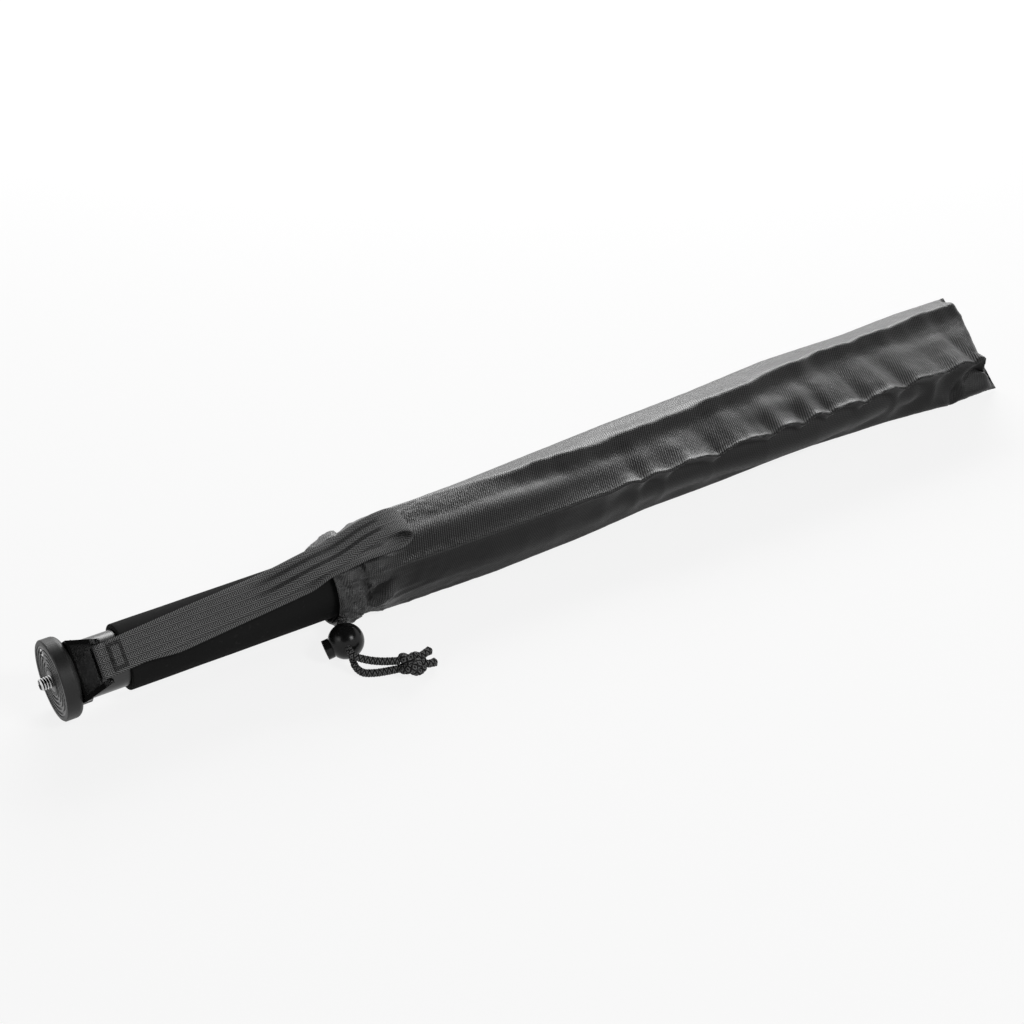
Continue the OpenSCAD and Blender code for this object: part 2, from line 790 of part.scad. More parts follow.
spring_rings = 8;
spring_low = spring_floor + fit_gap + spring_wire / 2;
spring_high = plunger_end - fit_gap - spring_wire / 2;
spring_path = [for (i = [0:spring_turns * spring_rings])
  let (a = i * 360 / spring_rings, climb = i / (spring_turns * spring_rings))
  [spring_r * cos(a), spring_r * sin(a), spring_low + (spring_high - spring_low) * climb]];
spring_gap = (spring_high - spring_low) / spring_turns - spring_wire;
echo(spring_gap = spring_gap);

module cord_lock_spring() {
  color("#b8b8b8") lock_frame() skin(tube_rings(spring_path, spring_wire / 2, 6));
}

// Drawcord ends

// Three-lobed path of the tied knot, whose cord is pulled thin
knot_path = [for (i = [0:knot_rings - 1])
  let (a = 360 * i / knot_rings, reach = knot_r + knot_lobe * cos(3 * a))
  [reach * cos(2 * a), reach * sin(2 * a), knot_lobe * sin(3 * a)]];
knot_gap = min([for (i = [0:knot_rings - 1], j = [0:knot_rings - 1])
  let (apart = min(abs(i - j), knot_rings - abs(i - j)))
  if (apart > knot_rings / 9) norm(knot_path[i] - knot_path[j]) - 2 * knot_cord_r]);
echo(knot_gap = knot_gap);

// Rings of a round tube along a closed path
function loop_rings(path, r, sides) = [for (i = [0:len(path) - 1])
  let (
    n = len(path),
    along = unit(path[(i + 1) % n] - path[(i + n - 1) % n]),
    side = unit(cross([0, 0, 1], along)),
    up = cross(along, side))
  [for (k = [0:sides - 1]) path[i] + r * (cos(360 * k / sides) * side + sin(360 * k / sides) * up)]];

module cord_knot() {
  color("#161616") translate(knot_at) rotate(knot_tilt) loop_skin(loop_rings(knot_path, knot_cord_r, 6));
}

camera_plate();
face_pad();
camera_stud();
set_screw();
neck_plug();
neck_collar();
tube(0, "#4b4e52");  // main_tube
foam_grip();
wrist_strap();
lock_sleeve(0);  // lock_sleeve_1
lock_collet(0);  // lock_collet_1
twist_collar(0);  // twist_collar_1
collar_band(0);  // collar_band_1
tube(1, "#55585c");  // leg_tube_2
guide_bush(1);  // guide_bush_2
lock_sleeve(1);  // lock_sleeve_2
lock_collet(1);  // lock_collet_2
twist_collar(1);  // twist_collar_2
collar_band(1);  // collar_band_2
tube(2, "#5e6165");  // leg_tube_3
guide_bush(2);  // guide_bush_3
lock_sleeve(2);  // lock_sleeve_3
lock_collet(2);  // lock_collet_3
twist_collar(2);  // twist_collar_3
collar_band(2);  // collar_band_3
tube(3, "#676a6e");  // leg_tube_4
guide_bush(3);  // guide_bush_4
foot_plug();
rubber_foot();
bag_wall(ridge_side, front_side);  // bag_top
bag_wall(front_side, floor_side);  // bag_front
bag_wall(floor_side, back_side);  // bag_base
bag_wall(back_side, bag_sides + ridge_side);  // bag_back
bag_end();
bag_hem();
hem_cord();
cord_lock_body();
cord_lock_button();
cord_lock_spring();
cord(upper_strand_route);  // upper_strand
cord(lower_strand_route);  // lower_strand
cord(upper_link_route);  // upper_link
cord(lower_link_route);  // lower_link
cord_knot();
cord(upper_tail_route);  // upper_tail
cord(lower_tail_route);  // lower_tail
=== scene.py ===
import math
import bpy
import numpy as np
from mathutils import Euler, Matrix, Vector, noise


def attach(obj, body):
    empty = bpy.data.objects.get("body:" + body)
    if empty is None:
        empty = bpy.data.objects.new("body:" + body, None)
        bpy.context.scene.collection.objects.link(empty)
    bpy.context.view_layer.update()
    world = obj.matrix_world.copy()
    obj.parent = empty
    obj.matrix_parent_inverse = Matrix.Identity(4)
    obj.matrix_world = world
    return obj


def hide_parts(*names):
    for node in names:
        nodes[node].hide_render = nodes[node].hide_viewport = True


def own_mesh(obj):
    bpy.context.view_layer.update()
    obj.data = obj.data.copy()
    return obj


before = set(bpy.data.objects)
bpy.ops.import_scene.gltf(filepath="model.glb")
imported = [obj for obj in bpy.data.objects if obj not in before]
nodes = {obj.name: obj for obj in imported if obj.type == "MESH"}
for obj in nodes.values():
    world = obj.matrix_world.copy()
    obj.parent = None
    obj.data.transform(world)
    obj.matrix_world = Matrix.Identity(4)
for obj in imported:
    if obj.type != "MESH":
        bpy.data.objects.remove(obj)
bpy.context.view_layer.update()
mm = 0.001  # lengths below are in millimetres and go to metres last
same = 1e-6  # a distance too small to count
endOn = 0.9  # the normal of an end face has more than this along X
print("frame loaded:", len(nodes), "nodes")


# Camera, light and floor

view = {
    "target": (0.27, 0.0, 0.0),
    "distance": 1.05657,
    "azimuth": 32.84,
    "elevation": 33.07,
    "lens": 70.67,
    "shift": (-0.02665, -0.00245),
}
studio = {
    "lamps": [  # a low key from behind, a fill from the front and a little light on the plate
        {"place": (0.95, 1.15, 0.64), "aim": (0.42, 0.0, 0.0), "size": (1.3, 0.6), "power": 24.0},
        {"place": (0.64, -1.03, 1.05), "aim": (0.26, 0.0, 0.0), "size": (0.42, 0.42), "power": 7.6},
        {"place": (-0.8, -0.1, 0.7), "aim": (0.05, 0.0, 0.0), "size": (0.45, 0.45), "power": 1.3}],
    "worldLight": 0.22,
    "floorGlow": 0.84,
    "floor": {"place": (0.27, 0.0, -0.0201), "size": 9.0, "colour": 0.9, "roughness": 0.9, "specular": 0.1},
    "ceiling": {"place": (0.3, 0.0, 1.4), "size": 4.0, "colour": 0.03, "roughness": 1.0, "specular": 0.5},
}


def addCamera():
    turn, tilt = math.radians(view["azimuth"]), math.radians(view["elevation"])
    back = Vector((-math.sin(turn) * math.cos(tilt), -math.cos(turn) * math.cos(tilt), math.sin(tilt)))
    bpy.ops.object.camera_add(
        location=Vector(view["target"]) + back * view["distance"],
        rotation=(math.pi / 2 - tilt, 0.0, -turn))
    camera = bpy.context.object
    camera.data.lens = view["lens"]
    camera.data.shift_x, camera.data.shift_y = view["shift"]
    bpy.context.scene.camera = camera


def addSoftbox(values):
    place = Vector(values["place"])
    bpy.ops.object.light_add(type="AREA", location=place)
    lamp = bpy.context.object
    lamp.rotation_euler = (Vector(values["aim"]) - place).to_track_quat("-Z", "Y").to_euler()
    lamp.data.shape = "RECTANGLE"
    lamp.data.size, lamp.data.size_y = values["size"]
    lamp.data.energy = values["power"]


# One socket of a shader, so that sums on sockets can be written as sums
class Wire:
    def __init__(self, tree, socket=None):
        self.tree = tree
        self.socket = socket

    def plug(self, socket, value):
        if isinstance(value, Wire):
            self.tree.links.new(value.socket, socket)
        else:
            socket.default_value = value

    def node(self, kind, settings, inputs, out=None):
        made = self.tree.nodes.new(kind)
        for key, value in settings.items():
            setattr(made, key, value)
        for key, value in inputs.items():
            if isinstance(key, int):
                self.plug(made.inputs[key], value)
            else:
                self.plug(next(s for s in made.inputs if s.enabled and s.name == key), value)
        return Wire(self.tree, next(s for s in made.outputs if s.enabled and out in (None, s.name)))

    def math(self, operation, other=None, first=None):
        values = {0: self if first is None else first}
        if other is not None:
            values[1] = other
        return self.node("ShaderNodeMath", {"operation": operation}, values)

    def __add__(self, other):
        return self.math("ADD", other)

    def __sub__(self, other):
        return self.math("SUBTRACT", other)

    def __rsub__(self, other):
        return self.math("SUBTRACT", self, other)

    def __mul__(self, other):
        return self.math("MULTIPLY", other)

    def __truediv__(self, other):
        return self.math("DIVIDE", other)

    def __pow__(self, other):
        return self.math("POWER", other)

    def __abs__(self):
        return self.math("ABSOLUTE")

    __radd__ = __add__
    __rmul__ = __mul__

    def wave(self, pitch):
        return (self * (2 * math.pi / pitch)).math("SINE")

    def over(self, low, high):
        return self.node(
            "ShaderNodeMapRange", {"interpolation_type": "SMOOTHSTEP"},
            {"Value": self, "From Min": low, "From Max": high, "To Min": 0.0, "To Max": 1.0})

    def colours(self, low, high):
        return self.node("ShaderNodeMix", {"data_type": "RGBA"}, {"Factor": self, "A": low, "B": high})

    def bump(self, height, strength):
        return self.node("ShaderNodeBump", {}, {"Strength": strength, "Distance": height, "Height": self})


def places(wire, kind="Object"):
    return wire.node("ShaderNodeTexCoord", {}, {}, kind)


def part(wire, vector, name):
    return wire.node("ShaderNodeSeparateXYZ", {}, {"Vector": vector}, name)


def cloud(wire, vector, scale, detail=2.0, roughness=0.5):
    return wire.node(
        "ShaderNodeTexNoise", {},
        {"Vector": vector, "Scale": scale, "Detail": detail, "Roughness": roughness}, "Fac")


def stretched(wire, vector, scale):
    return wire.node("ShaderNodeMapping", {}, {"Vector": vector, "Scale": scale})


def grey(level, warm=0.0):
    return (level * (1 + warm), level, level * (1 - warm), 1.0)


def makeFinish(name, constants, build):
    material = bpy.data.materials.new(name)
    material.use_nodes = True
    shader = material.node_tree.nodes["Principled BSDF"]
    for key, value in constants.items():
        shader.inputs[key].default_value = value
    wire = Wire(material.node_tree)
    for key, value in build(wire).items():
        wire.plug(shader.inputs[key], value)
    return material


def seenDirectly(wire):
    rays = [wire.node("ShaderNodeLightPath", {}, {}, kind)
            for kind in ("Is Camera Ray", "Is Glossy Ray", "Is Transmission Ray")]
    return (rays[0] + rays[1] + rays[2]).math("MINIMUM", 1.0)


def addCard(name):
    values = studio[name]
    bpy.ops.mesh.primitive_plane_add(size=values["size"], location=values["place"])
    card = bpy.context.object
    card.name = name
    card.data.materials.append(makeFinish(
        name + "Paper", {"Roughness": values["roughness"], "Specular IOR Level": values["specular"]},
        lambda wire: {"Base Color": grey(values["colour"])}))
    return card


def makeFloor():
    # white where it is seen directly, and under that a paper that takes the shadow
    tree = addCard("floor").data.materials[0].node_tree
    wire = Wire(tree)
    seen = seenDirectly(wire) * studio["floorGlow"]
    glow = wire.node("ShaderNodeEmission", {}, {"Color": grey(1.0), "Strength": 1.0})
    paper = Wire(tree, tree.nodes["Principled BSDF"].outputs[0])
    mixed = wire.node("ShaderNodeMixShader", {}, {0: seen, 1: paper, 2: glow})
    tree.links.new(mixed.socket, tree.nodes["Material Output"].inputs["Surface"])


def makeCeiling():
    # a dark card overhead, so that faces turned upwards show the dark of a studio
    addCard("ceiling").visible_camera = False  # a camera above the card sees the floor


def makeWorld():
    world = bpy.data.worlds.new("studioWorld")
    bpy.context.scene.world = world
    world.use_nodes = True
    wire = Wire(world.node_tree)
    background = world.node_tree.nodes["Background"]
    background.inputs["Color"].default_value = grey(1.0)
    low = studio["worldLight"]
    wire.plug(background.inputs["Strength"], seenDirectly(wire) * (1 - low) + low)


bpy.ops.object.select_all(action="DESELECT")
bpy.context.scene.view_settings.view_transform = "Standard"
addCamera()
for lamp in studio["lamps"]:
    addSoftbox(lamp)
makeFloor()
makeCeiling()
makeWorld()
print("studio set")


# Mesh helpers

def smooth(value, low, high):
    t = np.clip((np.asarray(value, float) - low) / (high - low), 0.0, 1.0)
    return t * t * (3 - 2 * t)


def bump(distance, wide):
    return np.exp(-(distance / wide) ** 2)


def throughPoints(points, steps):
    # smooth open curve through the points of a route
    p = np.array(points, float)
    p = np.vstack([p[:1], p, p[-1:]])
    t = (np.arange(steps) / steps)[:, None]
    spans = []
    for a, b, c, d in zip(p[:-3], p[1:-2], p[2:-1], p[3:]):
        spans.append(0.5 * (2 * b + (c - a) * t + (2 * a - 5 * b + 4 * c - d) * t ** 2
                            + (3 * b - a - 3 * c + d) * t ** 3))
    return np.vstack(spans + [p[-1:]])


def spaced(points, count):
    # the same line with its points evenly apart
    run = np.concatenate([[0.0], np.cumsum(np.linalg.norm(np.diff(points, axis=0), axis=1))])
    at = np.linspace(0.0, run[-1], count)
    return np.stack([np.interp(at, run, points[:, k]) for k in range(points.shape[1])], axis=1), run[-1]


def unit(vectors):
    return vectors / np.maximum(np.linalg.norm(vectors, axis=1), same)[:, None]


def setMode(mode):
    bpy.ops.object.mode_set(mode=mode)


def started(name):
    # the primitive that was just added, with its place and turn taken into its mesh
    piece = bpy.context.object
    piece.name = piece.data.name = name
    bpy.ops.object.transform_apply(location=True, rotation=True, scale=True)
    return piece


def pick(piece, kind, test):
    # goes to edit mode with only the faces or edges selected that pass a test
    setMode("EDIT")
    bpy.ops.mesh.select_mode(type=kind)
    bpy.ops.mesh.select_all(action="DESELECT")
    setMode("OBJECT")
    for item in piece.data.polygons if kind == "FACE" else piece.data.edges:
        item.select = test(item)
    setMode("EDIT")


def faceOutward():
    bpy.ops.mesh.select_all(action="SELECT")
    bpy.ops.mesh.normals_make_consistent(inside=False)
    setMode("OBJECT")


def perVertex(piece, key):
    values = np.empty(len(piece.data.vertices) * 3)
    piece.data.vertices.foreach_get(key, values)
    return values.reshape(-1, 3)


def gridPiece(name, across, along, points, flat):
    # a flat grid whose points are taken to their places, with its own flat size kept as its UV map
    bpy.ops.object.select_all(action="DESELECT")
    bpy.ops.mesh.primitive_grid_add(x_subdivisions=across, y_subdivisions=along, size=1.0)
    piece = started(name)
    start = perVertex(piece, "co") + 0.5
    column = np.rint(start[:, 0] * across).astype(int)
    row = np.rint(start[:, 1] * along).astype(int)
    piece.data.vertices.foreach_set("co", (points[row, column] * mm).ravel())
    corner = np.empty(len(piece.data.loops), int)
    piece.data.loops.foreach_get("vertex_index", corner)
    piece.data.uv_layers[0].data.foreach_set("uv", (flat[row, column][corner] * mm).ravel())
    piece.data.update()
    return piece


def closeUp(piece, fill):
    # the grid's meeting edges are joined, and its open ends filled where asked
    bpy.context.view_layer.objects.active = piece
    setMode("EDIT")
    bpy.ops.mesh.select_all(action="SELECT")
    bpy.ops.mesh.remove_doubles(threshold=same)
    if fill:
        bpy.ops.mesh.select_mode(type="EDGE")
        bpy.ops.mesh.select_all(action="DESELECT")
        bpy.ops.mesh.select_non_manifold()
        bpy.ops.mesh.fill_holes(sides=0)
    faceOutward()


def smoothShade(piece, degrees):
    bpy.ops.object.select_all(action="DESELECT")
    piece.select_set(True)
    bpy.context.view_layer.objects.active = piece
    bpy.ops.object.shade_smooth_by_angle(angle=math.radians(degrees))


def applied(piece, kind, **values):
    bpy.context.view_layer.objects.active = piece
    modifier = piece.modifiers.new(kind, kind)
    for key, value in values.items():
        setattr(modifier, key, value)
    bpy.ops.object.modifier_apply(modifier=modifier.name)


def dress(piece, finish, slot, body, *replaced):
    piece.data.materials.clear()
    piece.data.materials.append(finish)
    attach(piece, body)
    if replaced:
        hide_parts(*replaced)
    return piece


# Drawcord: two braided strands from the hem through the ball to the knot

drawcord = {
    "diameter": 3.3,
    "strands": 8,
    "braidPitch": 4.8,
    "braidDepth": 0.42,
    "braidRound": 0.7,
    "braidMiddle": 0.6,
    "loosened": 0.1,
    "around": 36,
    "ringStep": 0.28,
    "upperRoute": [
        (147.4, -16.6, -6.4), (145, -17.4, -6.7), (142.8, -18.8, -7.4), (141, -20.4, -8.2),
        (139.3, -22.4, -9), (138.3, -24.5, -9.4), (137.7, -26.7, -9.4), (136.8, -29.9, -9.4),
        (135.95, -33.15, -9.4), (135.1, -36.4, -9.4), (134.2, -39.6, -9.4), (133.6, -41.8, -9.4),
        (133, -44.8, -9.5), (134, -47.8, -10.2), (137, -50.3, -11.4), (141, -52.6, -12.6),
        (145.5, -54.8, -13.4), (152.4, -58.4, -13.6)],
    "lowerRoute": [
        (148.4, -13.6, -9.4), (146.2, -15.1, -10.1), (144, -17.1, -10.9), (142, -19.6, -11.8),
        (140.4, -22.4, -12.4), (139.4, -24.7, -12.6), (138.8, -26.9, -12.6), (137.9, -30.1, -12.6),
        (137.05, -33.4, -12.6), (136.2, -36.65, -12.6), (135.3, -39.9, -12.6), (134.7, -42.1, -12.6),
        (133.8, -45, -13.8), (133.6, -48.2, -16.2), (135.5, -51.6, -18), (139.5, -54.3, -18.3),
        (144.5, -56.4, -18.2), (152, -60.2, -16.8)],
    "upperTail": [(160.6, -61, -13.6), (162.8, -60.8, -13.4), (165.6, -60.2, -13), (168.2, -59.2, -13.4)],
    "lowerTail": [
        (160.4, -63.6, -15.2), (162.6, -64.2, -15.8), (165.4, -64.6, -16.6), (168.4, -64.2, -17.2)],
    "routeSteps": 12,
    "outOfBall": (0.6, 0.72),
    "frayFrom": 0.75,
    "fray": 0.12,
    "knotPlace": (157, -61.5, -15.2),
    "knotReach": 3.7,
    "knotLobe": 2.0,
    "knotTilt": (0, 10, -20),
    "knotRise": 2.2,
    "knotDiameter": 4.2,
    "knotSteps": 360,
    "sharp": 60,
}


def braidHeight(turn, along):
    # strands of two families pass over and under each other
    half = drawcord["strands"] / 2
    right = half * turn + along * half / drawcord["braidPitch"]
    left = half * turn - along * half / drawcord["braidPitch"]
    over = np.sin(np.pi * (right + left) / 2) * np.sin(np.pi * (right - left) / 2) > 0
    ridge = np.where(over, np.abs(np.sin(np.pi * right)), np.abs(np.sin(np.pi * left)))
    return ridge ** drawcord["braidRound"]


def turnedFrames(line, closed):
    ahead = np.roll(line, -1, axis=0) - np.roll(line, 1, axis=0)
    if not closed:
        ahead[0], ahead[-1] = line[1] - line[0], line[-1] - line[-2]
    ahead = unit(ahead)
    side = unit(np.cross((0.0, 0.0, 1.0), ahead))
    return side, np.cross(ahead, side)


def braidedTube(name, line, diameter, closed=False, swell=None):
    count = int(round(np.linalg.norm(np.diff(line, axis=0), axis=1).sum() / drawcord["ringStep"]))
    line, length = spaced(line, count + 1)
    side, up = turnedFrames(line[:-1], True) if closed else turnedFrames(line, False)
    if closed:
        side, up = np.vstack([side, side[:1]]), np.vstack([up, up[:1]])
    turn = np.linspace(0.0, 1.0, drawcord["around"] + 1)[None, :]
    along = np.linspace(0.0, length, count + 1)[:, None]
    pitches = max(1, round(length / drawcord["braidPitch"]))
    height = braidHeight(turn, along * pitches * drawcord["braidPitch"] / length)
    reach = diameter / 2 + drawcord["braidDepth"] * (height - drawcord["braidMiddle"])
    if swell is not None:
        reach = reach * swell(along / length)
    angle = 2 * np.pi * turn
    points = line[:, None, :] + reach[..., None] * (
        np.cos(angle)[..., None] * side[:, None, :] + np.sin(angle)[..., None] * up[:, None, :])
    flat = np.stack(np.broadcast_arrays(turn * math.pi * diameter, along), axis=-1)
    piece = gridPiece(name, drawcord["around"], count, points, flat)
    closeUp(piece, not closed)
    smoothShade(piece, drawcord["sharp"])
    return piece, line, length


def braidFinish(wire):
    uv = places(wire, "UV")
    turn = part(wire, uv, "X") / (math.pi * drawcord["diameter"] * mm)
    along = part(wire, uv, "Y")
    half = drawcord["strands"] / 2
    lift = along * (half / (drawcord["braidPitch"] * mm))
    right = abs((turn * half + lift).wave(2.0))
    left = abs((turn * half - lift).wave(2.0))
    above = ((turn * half).wave(2.0) * lift.wave(2.0)).math("GREATER_THAN", 0.0)  # which family lies on top
    ridge = left + (right - left) * above
    threads = (turn * half + lift).wave(0.16) * 0.5 + 0.5
    fuzz = cloud(wire, uv, 2600.0, 3.0)
    # painted highlight on the strand tops and painted shade in the gaps between strands, with thread and
    # fuzz texture on top
    light = ridge.over(0.72, 1.0) * (0.5 + 0.25 * threads + 0.5 * fuzz)
    return {
        "Base Color": light.colours(grey(0.002), grey(0.2)),
        "Roughness": 0.5 + 0.25 * fuzz,
        "Normal": (threads * 0.6 + fuzz * 0.8).bump(0.00006, 0.6),
    }


braidBlack = makeFinish("braidBlack", {"Specular IOR Level": 0.2}, braidFinish)


def knotLine():
    turn = np.linspace(0.0, 2 * np.pi, drawcord["knotSteps"] + 1)
    reach = drawcord["knotReach"] + drawcord["knotLobe"] * np.cos(3 * turn)
    rise = drawcord["knotRise"] * np.sin(3 * turn)
    line = np.stack([reach * np.cos(2 * turn), reach * np.sin(2 * turn), rise], axis=1)
    tilt = np.array(Euler([math.radians(angle) for angle in drawcord["knotTilt"]]).to_matrix())
    return line @ tilt.T + np.array(drawcord["knotPlace"])


def makeDrawcord(spring):
    knot, _, _ = braidedTube("cordKnot", knotLine(), drawcord["knotDiameter"], closed=True)
    dress(knot, braidBlack, "cord_braid", "bag", "cord_knot")
    loosened, fray, tails = drawcord["loosened"], drawcord["fray"], []
    for side in ("upper", "lower"):
        line = throughPoints(drawcord[side + "Tail"], drawcord["routeSteps"])
        tail, _, _ = braidedTube(
            side + "Tail", line, drawcord["diameter"],
            swell=lambda t: 1 + loosened + fray * smooth(t, drawcord["frayFrom"], 1.0))
        tails.append(dress(tail, braidBlack, "cord_braid", "bag", side + "_tail"))
    onCord = [nodes["cord_lock_body"], nodes["cord_lock_button"], spring, knot] + tails
    for side, extras in (("upper", onCord), ("lower", [])):
        route = throughPoints(drawcord[side + "Route"], drawcord["routeSteps"])
        strand, line, length = braidedTube(  # the cord springs back to its full width once out of the ball
            side + "Cord", route, drawcord["diameter"],
            swell=lambda t: 1 + loosened * smooth(t, *drawcord["outOfBall"]))
        dress(strand, braidBlack, "cord_braid", "bag", side + "_link", side + "_strand")
        print("drawcord strand", side, round(length, 1), "mm")


# Camera stud: a quarter-inch thread cut on a steel pin, with a flange in the plate

stud = {
    "radius": 3.175,
    "pitch": 1.27,
    "threadDepth": 0.72,
    "crestCut": 0.08,
    "crestShare": 0.125,
    "length": 5.5,
    "cutFrom": 1.5,  # turns that are cut away before the first
    "spareTurns": 2,
    "sharp": 35,
    "shankEnd": 22.5,
    "tipChamfer": 0.7,
    "flangeRadius": 5.5,
    "flangeDepth": 2.0,
    "flangeBevel": 0.25,
    "flangeCuts": 3,
    "flangeSides": 72,
    "flangeSharp": 40,
    "steps": 64,
}


def fromAxis(wire, place):
    return (part(wire, place, "Y") ** 2.0 + part(wire, place, "Z") ** 2.0).math("SQRT")


def steelFinish(wire):
    place = places(wire)
    grain = cloud(wire, stretched(wire, place, (900.0, 2600.0, 2600.0)), 1.0, 3.0)
    smudge = cloud(wire, place, 260.0, 2.0)
    ring = fromAxis(wire, place)
    root = (stud["radius"] - stud["threadDepth"]) * mm
    tip = 1 - part(wire, place, "X").over(-stud["length"] * mm + 0.0002, -stud["length"] * mm + 0.0005)
    # painted shade: the thread's roots are painted near black, its crests and the tip's end face bright
    # steel
    crest = ring.over(root + 0.00015, root + 0.00045).math("MAXIMUM", tip)
    return {
        "Base Color": (crest * (0.75 + 0.25 * smudge)).colours(grey(0.015), grey(0.8)),
        "Roughness": 0.16 + 0.14 * grain,
        "Normal": grain.bump(0.00001, 0.4),
    }


def darkSteelFinish(wire):
    place = places(wire)
    turned = fromAxis(wire, place).wave(0.00022) * 0.5 + 0.5
    grain = cloud(wire, place, 1500.0, 2.0)
    return {
        "Base Color": grain.colours(grey(0.02), grey(0.05)),
        "Roughness": 0.28 + 0.1 * turned,
        "Normal": turned.bump(0.00002, 0.5),
    }


brightSteel = makeFinish("brightSteel", {"Metallic": 1.0}, steelFinish)
darkSteel = makeFinish("darkSteel", {"Metallic": 0.6}, darkSteelFinish)


def makeStud():
    root = stud["radius"] - stud["threadDepth"]
    crest, pitch = stud["radius"] - stud["crestCut"], stud["pitch"]
    flat = stud["crestShare"] * pitch
    tooth = [  # one turn of the thread in profile, along Z
        (root, 0.0), (crest, (pitch - flat) / 2), (crest, (pitch + flat) / 2), (root, pitch)]
    bpy.ops.object.select_all(action="DESELECT")
    bpy.ops.mesh.primitive_circle_add(vertices=len(tooth))
    piece = started("cameraStud")
    for vertex, (out, high) in zip(piece.data.vertices, tooth):
        vertex.co = (out * mm, 0.0, high * mm)
    pick(piece, "EDGE", lambda edge: set(edge.vertices) == {0, len(tooth) - 1})
    bpy.ops.mesh.delete(type="EDGE_FACE")  # the profile stays open along the root
    setMode("OBJECT")
    turns = int(math.ceil(stud["length"] / pitch)) + stud["spareTurns"]
    applied(piece, "SCREW", axis="Z", angle=2 * math.pi, screw_offset=pitch * mm,
            steps=stud["steps"], render_steps=stud["steps"], iterations=turns,
            use_merge_vertices=True, merge_threshold=same)
    setMode("EDIT")
    low = stud["cutFrom"] * pitch * mm
    high = low + stud["length"] * mm
    for plane, way in ((low, -1.0), (high, 1.0)):  # square ends on the cut thread
        bpy.ops.mesh.select_all(action="SELECT")
        bpy.ops.mesh.bisect(plane_co=(0, 0, plane), plane_no=(0, 0, way), clear_outer=True, use_fill=True)
    bpy.ops.mesh.select_all(action="SELECT")
    bpy.ops.mesh.remove_doubles(threshold=same)
    faceOutward()
    chamfer = stud["tipChamfer"] * mm
    for vertex in piece.data.vertices:  # the thread runs out over a short cone at the tip
        x, y, z = vertex.co
        reach = math.hypot(x, y)
        most = root * mm + (high - z) / chamfer * stud["threadDepth"] * mm
        if reach > most > 0:
            x, y = x * most / reach, y * most / reach
        vertex.co = (low - z, y, x)  # the thread's length goes to -X, from the plate's face
    setMode("EDIT")
    faceOutward()
    smoothShade(piece, stud["sharp"])
    dress(piece, brightSteel, "bright_steel", "upper_tube", "camera_stud")


def makeFlange():
    bpy.ops.object.select_all(action="DESELECT")
    bpy.ops.mesh.primitive_cylinder_add(
        vertices=stud["flangeSides"], radius=stud["flangeRadius"] * mm, depth=stud["flangeDepth"] * mm,
        location=(stud["flangeDepth"] / 2 * mm, 0, 0), rotation=(0, math.pi / 2, 0))
    flange = started("studFlange")
    pick(flange, "FACE", lambda face: face.normal.x > endOn)
    bpy.ops.mesh.inset(thickness=(stud["flangeRadius"] - stud["radius"]) * mm)
    bpy.ops.mesh.extrude_region_move(
        TRANSFORM_OT_translate={"value": ((stud["shankEnd"] - stud["flangeDepth"]) * mm, 0, 0)})
    setMode("OBJECT")
    applied(flange, "BEVEL", width=stud["flangeBevel"] * mm, segments=stud["flangeCuts"],
            limit_method="ANGLE")
    smoothShade(flange, stud["flangeSharp"])
    dress(flange, darkSteel, "bright_steel", "upper_tube", "camera_stud")


makeStud()
makeFlange()
print("stud cut")


# Cord lock spring: wound wire behind the button

lockSpring = {
    "centre": (136.5, -33.3, -11.0),
    "turn": (0.0, 108.0, 165.0),
    "floor": -7.9,
    "low": -7.55,
    "high": -2.95,
    "radius": 2.6,
    "wire": 0.3,
    "turns": 3.5,
    "steps": 150,
    "around": 12,
    "sharp": 60,
    "pressed": 0.42,
}


def makeSpring():
    bpy.ops.object.select_all(action="DESELECT")
    bpy.ops.mesh.primitive_circle_add(
        vertices=lockSpring["around"], radius=lockSpring["wire"] * mm, rotation=(math.pi / 2, 0, 0),
        location=(lockSpring["radius"] * mm, 0, lockSpring["low"] * mm))
    piece = started("lockSpring")
    applied(piece, "SCREW", axis="Z", angle=2 * math.pi * lockSpring["turns"], steps=lockSpring["steps"],
            render_steps=lockSpring["steps"], screw_offset=(lockSpring["high"] - lockSpring["low"]) * mm)
    closeUp(piece, True)
    turn = Euler([math.radians(angle) for angle in lockSpring["turn"]])
    piece.rotation_euler = turn
    piece.location = Vector(lockSpring["centre"]) * mm
    bpy.ops.object.transform_apply(location=True, rotation=True, scale=True)
    smoothShade(piece, lockSpring["sharp"])
    dress(piece, brightSteel, "spring_steel", "bag", "cord_lock_spring")
    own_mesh(piece)
    return piece


makeDrawcord(makeSpring())


# Face pad: a turned ring with round-topped ridges, and a hole for the set screw

facePad = {
    "inner": 7.0,
    "outer": 17.5,
    "face": 0.2,
    "groove": 0.5,
    "back": 1.6,
    "ridges": 5,
    "round": 0.16,
    "steps": 180,
    "holeAt": 14.0,
    "holeTurn": 42.0,
    "holeRadius": 2.3,
    "holeSides": 48,
    "sharp": 50,
}


def padFinish(wire):
    place = places(wire)
    grain = cloud(wire, place, 1700.0, 2.0)
    worn = cloud(wire, place, 160.0, 2.0)
    return {
        "Base Color": (grain * 0.5 + worn * 0.5).colours(grey(0.012), grey(0.05)),
        "Roughness": 0.26 + 0.16 * grain,
        "Normal": grain.bump(0.00004, 0.4),
    }


padTurned = makeFinish("padTurned", {"Specular IOR Level": 0.45}, padFinish)


